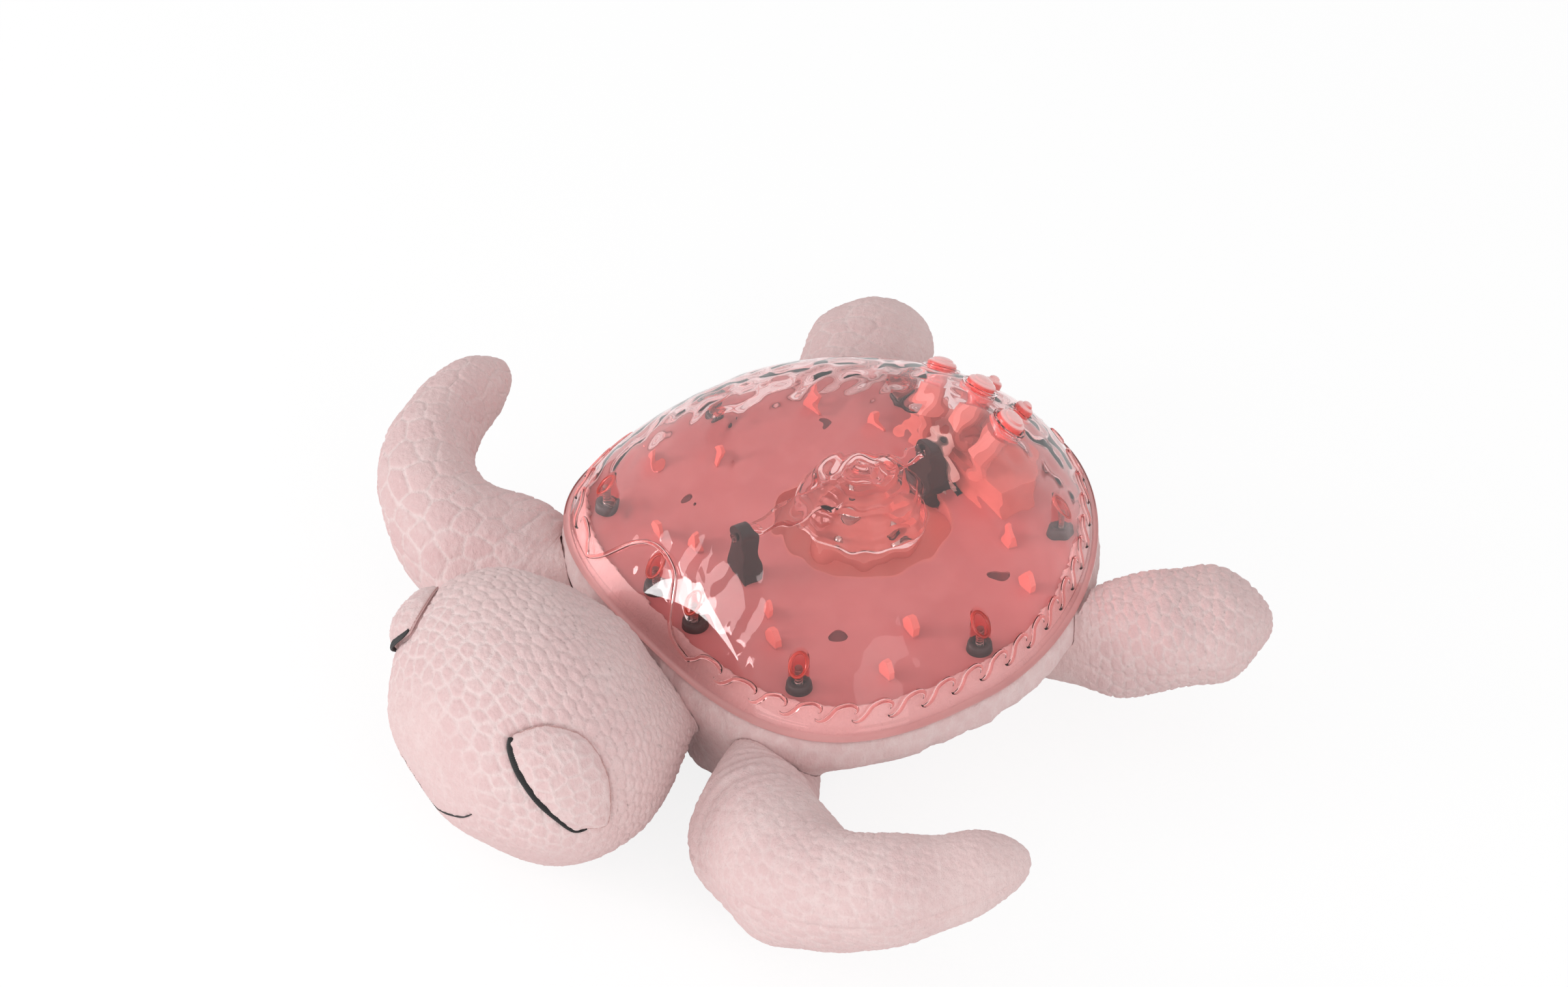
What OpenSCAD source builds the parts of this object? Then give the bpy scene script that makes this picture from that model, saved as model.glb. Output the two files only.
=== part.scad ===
// Plush turtle night light: a stuffed turtle that carries a clear domed
// projector shell with a rocking wave lens, lamps, buttons and batteries.
// Millimetres. The turtle looks along -Y, its left side is +X, and the
// floor is z = 0 with the origin under the middle of the whole toy.

/* [Shell] */
// Half width of the shell's rim at its widest line
shell_half_w = 102; // [92:1:112]
// Rim depth in front of the widest line
front_depth = 89; // [84:1:98]
// Rim depth behind the widest line
rear_depth = 115; // [108:1:124]
// Squareness of the rim's front half
front_power = 3.0; // [2.2:0.1:3.6]
// Squareness of the rim's rear half
rear_power = 1.7; // [1.6:0.1:2.4]
// Height of the rim above the floor
rim_z = 67; // [64:1:72]
// Rise of the dome above the rim
dome_h = 62; // [57:1:68]
// Wall of the clear shell
shell_wall = 2.4; // [1.8:0.1:3]
// Width of the lip round the rim
lip_w = 2; // [1.5:0.5:3]

/* [Wave border] */
// Scroll waves along each side of the shell
wave_count = 18; // [12:1:22]
// Reach of a wave up the shell
wave_reach = 9.5; // [7:0.5:11]
// Width of the raised scroll rib
rib_w = 2.2; // [1.6:0.1:2.8]
// Height of the plain arch over the front
arch_h = 21; // [16:1:24]

/* [Base plate] */
// Height of the plate's top above the rim
plate_lift = 6; // [5:0.5:8]
// Thickness of the plate
plate_t = 4; // [3.5:0.5:5]
// Inset of the plate's edge from the rim
plate_inset = 7.5; // [7.5:0.5:9]
// Radius of the light dish
dish_r = 34; // [32:1:36]
// Depth of the light dish
dish_depth = 6; // [5:0.5:8]
// Inset of the shell's screw bosses from the rim
boss_inset = 15; // [14:0.5:18]

/* [Wave lens] */
// Radius of the lens at its rim
lens_r = 27.5; // [24:0.5:28]
// Rise of the lens from rim to crown
lens_h = 21; // [18:1:23]
// Height of the rocking axis above the plate
pivot_lift = 21; // [19:1:24]
// Distance of the front post in front of the lens
front_post_d = 57; // [48:1:60]
// Distance of the rear post behind the lens
rear_post_d = 33; // [31:1:35]
// Radius of the trunnion pins
trunnion_r = 2; // [1.5:0.1:2.5]
// Teeth of a full wheel of the sector's size
sector_teeth = 30; // [28:2:30]
// Teeth of the drive pinion
pinion_teeth = 10; // [10:4:14]

/* [Buttons] */
// Radius of the three large buttons
big_button_r = 6; // [5:0.5:6.5]
// Radius of the two small buttons
small_button_r = 3.9; // [3.5:0.1:4.5]
// Height of a button above the shell
button_rise = 4.4; // [3:0.2:5]
// Travel of a button
button_travel = 1.2; // [0.8:0.1:1.4]
// Radius of the button stems
stem_r = 3.3; // [2.8:0.1:3.4]

/* [Base housing] */
// Inset of the housing wall from the rim
housing_inset = 26; // [25:0.5:28]
// Wall of the housing
housing_wall = 2.2; // [1.8:0.1:2.6]
// Inset of the housing's foot from the rim
foot_inset = 56; // [54:0.5:57]
// Thickness of the battery door
door_t = 2.5; // [2:0.1:3]

/* [Plush] */
// Swell of the body beyond the rim
belly_out = 3; // [2:0.5:5]
// Tuck of the body's underside
belly_tuck = 66; // [62:1:68]
// Half width of the head
head_w = 64; // [56:1:68]
// Half length of the head
head_l = 50.5; // [46:0.5:54]
// Half height of the head
head_h = 53.5; // [48:0.5:53.5]
// Half width of a front flipper at its root
front_flipper_w = 27; // [22:1:29]
// Half thickness of a front flipper at its root
front_flipper_t = 30; // [24:1:31]
// Half width of a rear flipper at its paddle
rear_flipper_w = 26; // [20:1:28]
// Half thickness of a rear flipper at its root
rear_flipper_t = 25; // [20:1:27]

/* [Fits] */
// Gap between soft pieces and what they meet
soft_gap = 0.4; // [0.3:0.05:0.6]
// Gap of parts that drop in
drop_gap = 0.35; // [0.25:0.05:0.5]
// Radial clearance of turning and sliding fits
run_gap = 0.06; // [0.03:0.01:0.1]

/* [Hidden] */
$fn = 48;
coral = "#d9706e";
clear_pink = [0.86, 0.45, 0.45, 0.45];
plush_pink = "#ead2d0";
button_pink = "#f08c8c";

// Plan places along the length of the toy
shell_mid_y = 33;
dome_mid_y = shell_mid_y + (rear_depth - front_depth) / 2 + 2;
dome_mid = [0, dome_mid_y];
rim_front_y = shell_mid_y - front_depth;
rim_steps = 64;
dome_power = 2.5;
dome_shoulder = 0.92;
lip_t = 2;

// Levels
plate_top = rim_z + plate_lift;
plate_bottom = plate_top - plate_t;
dish_floor = plate_top - dish_depth;
dish_t = 2;
pivot_z = plate_top + pivot_lift;
foot_z = 0;
bowl_z = 30;
bowl_floor = bowl_z + housing_wall;
body_top = rim_z - lip_t - soft_gap;
hem_z = plate_top - 1;

// Scroll border, as rim angles and shares of the dome
wave_from = -60;
wave_to = 88;
wave_pitch = (wave_to - wave_from) / wave_count;
wave_base = 0.955;
reach_share = wave_reach / norm([shell_half_w, 2.4 * dome_h]);

// Screw places as pairs of rim angle and inset from the rim
boss_spots = [for (a = [-80, -44, 4, 55]) [a, boss_inset]];
housing_screw_spots = [[-34, 43], [34, 32]];
fin_spots = [[-55, 30], [-63, 40], [-8, 38], [31, 19], [51, 35], [-22, 21]];
boss_r = 4;
pilot_r = 1.4;
screw_head_r = 3;
screw_head_h = 1.6;
dome_screw_z = plate_bottom + screw_head_h + 0.2;
dome_screw_l = 13;
housing_screw_l = 14;
well_t = 2;

// Lamps in the dish
led_r = 2.5;
led_stem = 4;
led_circle = 15;
ring_r = 20;
ring_t = 2;
ring_h = 4;
board_t = 1.6;

// Bearings and drive
post_t = 6;
post_w = 12;
front_post_y = dome_mid_y - front_post_d;
rear_post_y = dome_mid_y + rear_post_d;
lens_wall = 1.4;
lens_drop = 15;
lens_rim_z = pivot_z - lens_drop;
arm_t = 2.4;
arm_tip = 2.5;
arm_mid = 9;
arm_gap = 0.6;
post_peg_x = 4;
post_peg_r = 1.8;
lens_ball = (lens_r * lens_r + lens_h * lens_h) / (2 * lens_h);
lens_ball_z = lens_rim_z + lens_h - lens_ball;
gear_module = 1;
gear_t = 4;
gear_y = rear_post_y + post_t / 2 + 1;
sector_r = gear_module * sector_teeth / 2;
pinion_r = gear_module * pinion_teeth / 2;
pinion_z = pivot_z - sector_r - pinion_r;
motor_r = 9.5;
motor_l = 20;
motor_y = gear_y + gear_t + 5;
motor_shaft_r = 1;
motor_grip = 5;
nose_r = 3.2;
nose_l = 2;
slot_gap = 1;

// Button tower
big_row_d = 58;
big_side = [22, 55.5];
small_side = [10, 72];
big_spots = [[-big_side.x, big_side.y], [0, big_row_d], big_side];
small_spots = [[-small_side.x, small_side.y], small_side];
tower_half_w = 32;
tower_y = gear_y + gear_t + 3;
tower_l = 26;
tower_h = 14;
tower_wall = 2;
column_r = 5.6;
button_under = 3.4;
flange_t = 1.2;
switch_h = 2.6;
switch_tip = 0.6;
press_gap = 0.1;
flange_w = 1.4;
column_depth = button_under + flange_t + button_travel + 2.2;
stem_depth = 14;
well_depth = stem_depth + button_travel + press_gap + switch_h + switch_tip;
well_floor = 2;
pillar_r = 4;

// Batteries
cell_r = 7.1;
cell_l = 49.3;
cell_nub = 1.2;
cell_pitch = 15.2;
pocket_half_w = 24;
pocket_y = 7.5;
leaf_t = 0.8;
spring_l = 5.4;
pocket_l = cell_l + cell_nub + spring_l + 2 * leaf_t;
pocket_top = 21;
box_wall = 2;
box_half_w = 27.8;
box_edge = 1.5;
door_half_w = 25.6;
door_y = pocket_y - 3;
door_l = pocket_l + 10.5;
door_z = foot_z + 0.5;
door_top = door_z + door_t;
door_r = door_t / 2;
hinge_y = door_y + door_r;
hinge_z = door_z + door_r;
hinge_pin_r = 0.9;
hinge_pin_l = 1;
latch_y = door_y + door_l - 4;
latch_r = 1.2;
latch_gap = 0.6;
pin_gap = 0.6;

// Control board and speaker
board_z = pocket_top + box_wall + 8;
board_w = 56;
board_l = 50;
board_y = pocket_y + 5;
board_edge = 4;
speaker_y = rim_front_y + housing_inset + housing_wall + 15;
speaker_r = 14;
grille_r = 7;

// Soft forms
belly_z = 54;
belly_power = 1.2;
body_bottom = 6;
body_steps = 10;
neck_l = 1.9;
head_y = rim_front_y - head_l - neck_l;
head_z = 53.8;
head_sides = 36;
neck_from = 105;
neck_to = 155;
neck_w = 36;
neck_h = 16;
neck_z = 46;
lid_axis = [0.86, -0.37, 0.34];
lid_spread = 22;
lid_bulge = 3.4;
lid_edge = 0.5;
limb_sides = 22;
limb_steps = 17;
front_root = [-49, 18, 29];
front_steps = [[62, -23, 23], [82, -4, 34], [94, 53, 34]];
front_tip_w = 9.5;
front_tip_t = 15;
front_swell = 1.5;
front_cap = 0.72;
rear_root = [37, 6, 46];
rear_steps = [[11, 14, 1], [22, 39, 7], [41, 58, 6]];
rear_root_w = 18;
rear_tip_t = 18;
rear_swell = 4;
rear_cap = 0.62;

// Small helpers
function lerp(a, b, t) = a + (b - a) * t;
function unit(v) = v / norm(v);
function ease(t) = let (c = min(1, max(0, t))) c * c * (3 - 2 * c);

// Distance from the rim's middle to a rim grown outward by grow, at an angle
function rim_r(a, grow) =
    let (n = sin(a) < 0 ? front_power : rear_power,
         d = (sin(a) < 0 ? front_depth : rear_depth) + grow,
         w = shell_half_w + grow)
    1 / pow(pow(abs(cos(a)) / w, n) + pow(abs(sin(a)) / d, n), 1 / n);
function rim_point(a, grow = 0) = [0, shell_mid_y] + rim_r(a, grow) * [cos(a), sin(a)];
function rim_angles() = [for (k = [0:rim_steps - 1]) k * 360 / rim_steps];
function rim_outline(grow) = [for (a = rim_angles()) rim_point(a, grow)];
function rim_ring(z, grow) = [for (p = rim_outline(grow)) [p.x, p.y, z]];

// Dome surface, as a share s of the way from its crown to the rim
function dome_rise(s) = pow(max(0, 1 - pow(s, dome_power)), dome_shoulder);
function dome_point(a, s, grow = 0) =
    let (p = lerp(dome_mid, rim_point(a, grow), s)) [p.x, p.y, rim_z + (dome_h + grow) * dome_rise(s)];
function dome_ring(s, grow) = [for (a = rim_angles()) dome_point(a, s, grow)];
function dome_share(z, grow) =
    pow(1 - pow((z - rim_z) / (dome_h + grow), 1 / dome_shoulder), 1 / dome_power);

// Share of the way to the rim at a plan point, found by halving
function rim_level(p) =
    let (q = p - [0, shell_mid_y],
         n = q.y < 0 ? front_power : rear_power,
         d = q.y < 0 ? front_depth : rear_depth)
    pow(abs(q.x) / shell_half_w, n) + pow(abs(q.y) / d, n);
function plan_share(p, lo = 0.001, hi = 1, i = 0) =
    let (m = (lo + hi) / 2)
    i > 24 ? m
    : rim_level(dome_mid + (p - dome_mid) / m) > 1 ? plan_share(p, m, hi, i + 1)
    : plan_share(p, lo, m, i + 1);
function dome_z(p) = rim_z + dome_h * dome_rise(plan_share(p));
function dome_normal(p, e = 0.5) = unit([
    dome_z(p - [e, 0]) - dome_z(p + [e, 0]), dome_z(p - [0, e]) - dome_z(p + [0, e]), 2 * e]);

// Side of the stuffed body at a height, and the nearest body point to a limb
function body_grow(z) = belly_out - belly_tuck * pow(max(0, 1 - max(0, z) / belly_z), belly_power)
    - belly_out * pow(max(0, z - belly_z) / (rim_z - belly_z), 2);
function on_body(p, gap) =
    let (q = [p.x, p.y - shell_mid_y], a = atan2(q.y, q.x), r = rim_r(a, body_grow(p.z) + gap))
    [r * cos(a), shell_mid_y + r * sin(a), p.z];

// Curve of four control points and its direction
function curve(c, t) = let (u = 1 - t)
    u * u * u * c[0] + 3 * u * u * t * c[1] + 3 * u * t * t * c[2] + t * t * t * c[3];
function curve_dir(c, t) = let (u = 1 - t)
    unit(u * u * (c[1] - c[0]) + 2 * u * t * (c[2] - c[1]) + t * t * (c[3] - c[2]));

// Closed skin through rings of equal count, with a point at each end
module skin(rings, first, last) {
    n = len(rings[0]);
    m = len(rings);
    points = concat([first], [for (r = rings) each r], [last]);
    base = 1 + (m - 1) * n;
    polyhedron(points, concat(
        [for (k = [0:n - 1]) [0, 1 + (k + 1) % n, 1 + k]],
        [for (j = [0:m - 2], k = [0:n - 1])
            let (a = 1 + j * n + k, b = 1 + j * n + (k + 1) % n) each [[a, b, b + n], [a, b + n, a + n]]],
        [for (k = [0:n - 1]) [base + k, base + (k + 1) % n, len(points) - 1]]));
}

// Closed skin through rings that come back to the first one
module ring_skin(rings) {
    n = len(rings[0]);
    m = len(rings);
    polyhedron([for (r = rings) each r],
        [for (j = [0:m - 1], k = [0:n - 1])
            let (a = j * n + k, b = j * n + (k + 1) % n, i = ((j + 1) % m) * n,
                 c = i + k, d = i + (k + 1) % n)
            each [[a, b, d], [a, d, c]]]);
}

// Extrudes a plan outline of the rim family between two heights
module rim_prism(grow, z0, z1) {
    translate([0, 0, z0]) linear_extrude(z1 - z0) polygon(rim_outline(grow));
}

// Extrudes a profile drawn in X and -Z along +Y
module along_y(y, length) {
    translate([0, y, 0]) rotate([-90, 0, 0]) linear_extrude(length) children();
}

// Puts children at plan places given by rim angle and inset, on both sides
module at_rim_spots(spots) {
    for (s = spots, side = [-1, 1]) {
        p = rim_point(s[0], -s[1]);
        translate([side * p.x, p.y, 0]) children();
    }
}

// Puts children on the dome at a plan place, with Z along the dome's normal
module on_dome(spot) {
    p = dome_mid + spot;
    n = dome_normal(p);
    translate([p.x, p.y, dome_z(p)]) rotate([0, acos(n.z), atan2(n.y, n.x)]) children();
}

// Stuffed body: a swelled ring with a hem under the shell's rim
module plush_body() {
    hem_share = dome_share(hem_z, -shell_wall - soft_gap);
    outside = [for (j = [0:body_steps]) lerp(body_top, body_bottom, sin(90 * j / body_steps))];
    color(plush_pink) ring_skin(concat(
        [for (z = outside) rim_ring(z, body_grow(z))],
        [rim_ring(body_bottom + 1, -(foot_inset - soft_gap)),
         rim_ring(bowl_z - soft_gap, -(foot_inset - soft_gap)),
         rim_ring(bowl_z - soft_gap, -(housing_inset - soft_gap)),
         rim_ring(plate_bottom - soft_gap, -(housing_inset - soft_gap)),
         rim_ring(plate_bottom - soft_gap, -(plate_inset - soft_gap)),
         rim_ring(hem_z, -(plate_inset - soft_gap)),
         dome_ring(hem_share, -shell_wall - soft_gap),
         rim_ring(body_top, -(shell_wall + soft_gap))]));
}

// Head: an egg that draws in to a neck lying on the body
function head_ring(f) =
    let (w = ease((f - neck_from) / (neck_to - neck_from)))
    [for (k = [0:head_sides - 1])
        let (a = k * 360 / head_sides,
             egg = [head_w * sin(f) * cos(a), head_y - head_l * cos(f), head_z + head_h * sin(f) * sin(a)],
             neck = on_body([neck_w * cos(a), rim_front_y, neck_z + neck_h * sin(a)], soft_gap))
        lerp(egg, neck, w)];
function neck_ring(share) =
    [for (k = [0:head_sides - 1])
        let (a = k * 360 / head_sides)
        on_body([share * neck_w * cos(a), rim_front_y, neck_z + share * neck_h * sin(a)], soft_gap)];
module plush_head() {
    color(plush_pink) skin(
        concat([for (f = [8:10.5:neck_to]) head_ring(f)], [for (s = [0.7, 0.35]) neck_ring(s)]),
        [0, head_y - head_l, head_z], on_body([0, rim_front_y, neck_z], soft_gap));
}

// Eyelid: a padded round patch sewn to the head
function head_skin(d, lift) =
    let (u = unit(d), m = [for (i = [0:2]) u[i] * [head_w, head_l, head_h][i]],
         g = unit([u.x / head_w, u.y / head_l, u.z / head_h]))
    [0, head_y, head_z] + m + lift * g;
function lid_dir(share, a) =
    let (c = unit(lid_axis), e = unit(cross([0, 0, 1], c)), f = cross(c, e), r = lid_spread * share)
    cos(r) * c + sin(r) * (cos(a) * e + sin(a) * f);
function lid_ring(share, lift) = [for (a = [0:18:342]) head_skin(lid_dir(share, a), lift)];
module eyelid() {
    over = [0.3, 0.55, 0.75, 0.9, 1];
    color(plush_pink) skin(
        concat([for (s = over) lid_ring(s, soft_gap + lid_edge + lid_bulge * (1 - s * s))],
               [for (s = [1, 0.6, 0.3]) lid_ring(s, soft_gap)]),
        head_skin(lid_axis, soft_gap + lid_edge + lid_bulge), head_skin(lid_axis, soft_gap));
}
module eyelid_left() eyelid();
module eyelid_right() mirror([1, 0, 0]) eyelid();

// Flipper: oval rings along a curve, sewn to the body at its root
function limb_frame(c, t, w, h, sides) =
    let (d = curve_dir(c, t), n = unit(cross(d, [0, 0, 1])), v = cross(n, d), p = curve(c, t))
    [for (k = [0:sides - 1]) let (a = k * 360 / sides) p + w * cos(a) * n + h * sin(a) * v];
function round_end(t, from) = t < from ? 1 : sqrt(max(0, 1 - pow((t - from) / (1 - from), 2.2)));
module flipper(root, steps, root_w, tip_w, swell, root_t, tip_t, cap_from) {
    r0 = rim_point(root[0], root[1]);
    foot = [r0.x, r0.y, root[2]];
    c = [foot, foot + steps[0], foot + steps[1], foot + steps[2]];
    shares = [for (j = [0:limb_steps - 1]) sin(90 * pow(j / limb_steps, 1.15))];
    rings = [for (t = shares)
        let (e = round_end(t, cap_from), q = lerp(0.9, 1, ease(t / 0.2)))
        limb_frame(c, t, (lerp(root_w, tip_w, t) + swell * sin(180 * t)) * e * q,
                   lerp(root_t, tip_t, t) * e * q, limb_sides)];
    sewn = [for (s = [0.3, 0.6, 0.85]) [for (p = rings[0]) on_body(lerp(foot, p, s), soft_gap)]];
    half = [for (k = [0:limb_sides - 1]) lerp(sewn[2][k], rings[0][k], 0.55)];
    color(plush_pink) skin(concat(sewn, [half], rings), on_body(foot, soft_gap), c[3]);
}
module front_flipper() {
    flipper(front_root, front_steps, front_flipper_w, front_tip_w, front_swell,
            front_flipper_t, front_tip_t, front_cap);
}
module rear_flipper() {
    flipper(rear_root, rear_steps, rear_root_w, rear_flipper_w, rear_swell,
            rear_flipper_t, rear_tip_t, rear_cap);
}
module front_flipper_left() front_flipper();
module front_flipper_right() mirror([1, 0, 0]) front_flipper();
module rear_flipper_left() rear_flipper();
module rear_flipper_right() mirror([1, 0, 0]) rear_flipper();

// One scroll wave in plan: share along its pitch, and share of its reach
function scroll(q) = q < 0.65
    ? let (t = q / 0.65) [0.92 * t, 0.5 - 0.5 * cos(180 * t)]
    : let (f = 90 - 235 * (q - 0.65) / 0.35) [0.92 + 0.2 * cos(f), 0.78 + 0.22 * sin(f)];
function wave_path(i) = [for (q = [0:0.1:1])
    let (w = scroll(q)) [wave_from + wave_pitch * (i + w[0]), wave_base - reach_share * w[1]]];
function arch_path() = [for (q = [0:0.05:0.5])
    [-90 + (90 + wave_from) * cos(180 * q),
     wave_base - reach_share * arch_h / wave_reach * sin(180 * q)]];

// Raised rib along a path of rim angles and dome shares
module dome_rib(path) {
    sink = 0.7;
    rise = 1;
    on = [for (p = path) dome_point(p[0], p[1])];
    up = [for (p = path) unit(cross(
        dome_point(p[0] + 1, p[1]) - dome_point(p[0] - 1, p[1]),
        dome_point(p[0], p[1] - 0.01) - dome_point(p[0], p[1] + 0.01)))];
    last = len(path) - 1;
    rings = [for (i = [0:last])
        let (d = unit(on[min(last, i + 1)] - on[max(0, i - 1)]), s = unit(cross(d, up[i])) * rib_w / 2)
        [on[i] + up[i] * rise, on[i] - s - up[i] * sink, on[i] + s - up[i] * sink]];
    skin(rings, on[0], on[last]);
}

// Solid inside the dome's outer surface, used to trim what hangs from it
module dome_fill(grow) {
    skin([for (j = [1:10]) dome_ring(sin(9 * j), grow)], dome_point(0, 0, grow), [0, dome_mid_y, rim_z]);
}

// Clear shell with its lip, scroll border, screw bosses and button holes
module shell_dome() {
    color(clear_pink) difference() {
        union() {
            skin(concat(
                [for (j = [1:10]) dome_ring(sin(9 * j), 0)],
                [rim_ring(rim_z, lip_w), rim_ring(rim_z - lip_t, lip_w),
                 rim_ring(rim_z - lip_t, -shell_wall)],
                [for (j = [9:-1:1]) dome_ring(sin(10 * j), -shell_wall)]),
                dome_point(0, 0, 0), dome_point(0, 0, -shell_wall));
            for (i = [0:wave_count - 1], side = [0, 1]) mirror([side, 0, 0]) dome_rib(wave_path(i));
            for (side = [0, 1]) mirror([side, 0, 0]) dome_rib(arch_path());
            intersection() {
                at_rim_spots(boss_spots)
                    translate([0, 0, plate_top]) cylinder(r = boss_r, h = dome_h, $fn = 20);
                dome_fill(-shell_wall / 2);
            }
        }
        at_rim_spots(boss_spots)
            translate([0, 0, plate_top - 1]) cylinder(r = pilot_r, h = dome_screw_l + 1, $fn = 20);
        for (s = big_spots) on_dome(s) button_hole(big_button_r);
        for (s = small_spots) on_dome(s) button_hole(small_button_r);
    }
}
module button_hole(r) {
    translate([0, 0, -button_under]) cylinder(r = r + drop_gap, h = 2 * button_under, $fn = 32);
}

// Screw with its head downward: shank up from z = 0
module screw(shank_r, shank_l) {
    cylinder(r = shank_r, h = shank_l);
    translate([0, 0, -screw_head_h]) cylinder(r = screw_head_r, h = screw_head_h);
}
module dome_screws() {
    color("#8d8d90") at_rim_spots(boss_spots)
        translate([0, 0, dome_screw_z]) screw(pilot_r - run_gap, dome_screw_l);
}

// Coral plate with the light dish, ring, fins, wells and slots
module base_plate() {
    screw_clear = pilot_r + drop_gap;
    color(coral) difference() {
        union() {
            rim_prism(-plate_inset, plate_bottom, plate_top);
            translate([0, dome_mid_y, dish_floor - dish_t])
                cylinder(r = dish_r + dish_t, h = dish_depth + dish_t);
            at_rim_spots(fin_spots) fin();
        }
        translate([0, dome_mid_y, dish_floor]) difference() {
            cylinder(r = dish_r, h = 2 * dish_depth);
            light_ring();
        }
        led_places()
            translate([0, 0, dish_floor - dish_t - 1]) cylinder(r = led_r + drop_gap, h = dish_t + 2);
        at_rim_spots(boss_spots) {
            translate([0, 0, plate_bottom - 1]) cylinder(r = screw_clear, h = plate_t + 2);
            translate([0, 0, plate_bottom - 1])
                cylinder(r = screw_head_r + drop_gap, h = 1 + dome_screw_z - plate_bottom);
        }
        at_rim_spots(housing_screw_spots) {
            translate([0, 0, plate_bottom - 1]) cylinder(r = screw_clear, h = plate_t + 2);
            translate([0, 0, plate_top - well_t]) cylinder(r = screw_head_r + drop_gap, h = well_t + 1);
        }
        translate([-motor_r - slot_gap, gear_y - slot_gap, plate_bottom - 1])
            cube([2 * (motor_r + slot_gap), motor_y + motor_l + 3 - gear_y, plate_t + 2]);
        for (y = [front_post_y, rear_post_y], x = [-1, 1])
            translate([x * post_peg_x, y, plate_bottom - 1])
                cylinder(r = post_peg_r + run_gap, h = plate_t + 2);
    }
}
module led_places() {
    for (a = [35, 155, 275])
        translate([led_circle * cos(a), dome_mid_y + led_circle * sin(a), 0]) children();
}
module light_ring() {
    difference() {
        cylinder(r = ring_r + ring_t, h = ring_h);
        translate([0, 0, -1]) cylinder(r = ring_r, h = ring_h + 2);
    }
}
module fin() {
    w = 7;
    h = 9;
    t = 2.4;
    shoulder = 5;
    slope = 2.5;
    translate([-w / 2, t / 2, plate_top - 1]) rotate([90, 0, 0]) linear_extrude(t)
        polygon([[0, 0], [w, 0], [w, shoulder], [w - slope, h], [slope, h], [0, shoulder]]);
}

// Lower housing: a tub with a foot that holds the battery box
module base_housing() {
    color("#cf8b88") difference() {
        union() {
            difference() {
                union() {
                    rim_prism(-housing_inset, bowl_z, plate_bottom);
                    rim_prism(-foot_inset, foot_z, bowl_z);
                }
                rim_prism(-housing_inset - housing_wall, bowl_floor, plate_bottom + 1);
                rim_prism(-foot_inset - housing_wall, foot_z + housing_wall, bowl_floor + 1);
            }
            at_rim_spots(housing_screw_spots)
                translate([0, 0, bowl_floor - 1]) cylinder(r = boss_r, h = plate_bottom - bowl_floor + 1);
            translate([-box_half_w, door_y - box_edge, foot_z])
                cube([2 * box_half_w, door_l + 2 * box_edge, pocket_top + box_wall - foot_z]);
            board_places() translate([0, 0, pocket_top]) cylinder(r = 3, h = board_z - pocket_top);
        }
        translate([-pocket_half_w, pocket_y, foot_z - 1])
            cube([2 * pocket_half_w, pocket_l, pocket_top - foot_z + 1]);
        translate([-door_half_w - drop_gap, door_y - drop_gap, foot_z - 1])
            cube([2 * (door_half_w + drop_gap), door_l + 2 * drop_gap, door_top - foot_z + 1 + drop_gap]);
        translate([-door_half_w - hinge_pin_l - pin_gap, hinge_y, hinge_z]) rotate([0, 90, 0])
            cylinder(r = hinge_pin_r + run_gap, h = 2 * (door_half_w + hinge_pin_l + pin_gap));
        translate([0, latch_y, door_top - 1]) cylinder(r = latch_r + latch_gap, h = 9);
        at_rim_spots(housing_screw_spots)
            translate([0, 0, plate_bottom - housing_screw_l]) cylinder(r = pilot_r, h = housing_screw_l + 1);
        for (a = [0:45:315]) translate([grille_r * cos(a), speaker_y + grille_r * sin(a), bowl_z - 1])
            cylinder(r = 1.5, h = housing_wall + 2);
    }
}
module housing_screws() {
    color("#55504f") at_rim_spots(housing_screw_spots)
        translate([0, 0, plate_top - well_t]) mirror([0, 0, 1]) screw(pilot_r - run_gap, housing_screw_l);
}

// Black bearing posts that carry the lens
module bearing_post(y) {
    color("#262222") difference() {
        union() {
            along_y(y - post_t / 2, post_t) {
                translate([0, -pivot_z]) circle(r = trunnion_r + 2.6);
                polygon([[-post_w / 2, -plate_top], [post_w / 2, -plate_top], [post_w / 2, -plate_top - 5],
                         [trunnion_r + 2.4, -pivot_z + 1], [-trunnion_r - 2.4, -pivot_z + 1],
                         [-post_w / 2, -plate_top - 5]]);
            }
            for (x = [-1, 1])
                translate([x * post_peg_x, y, plate_bottom]) cylinder(r = post_peg_r, h = plate_t + 1);
        }
        along_y(y - post_t, 2 * post_t) translate([0, -pivot_z]) circle(r = trunnion_r + run_gap);
    }
}
module bearing_post_front() bearing_post(front_post_y);
module bearing_post_rear() bearing_post(rear_post_y);

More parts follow.
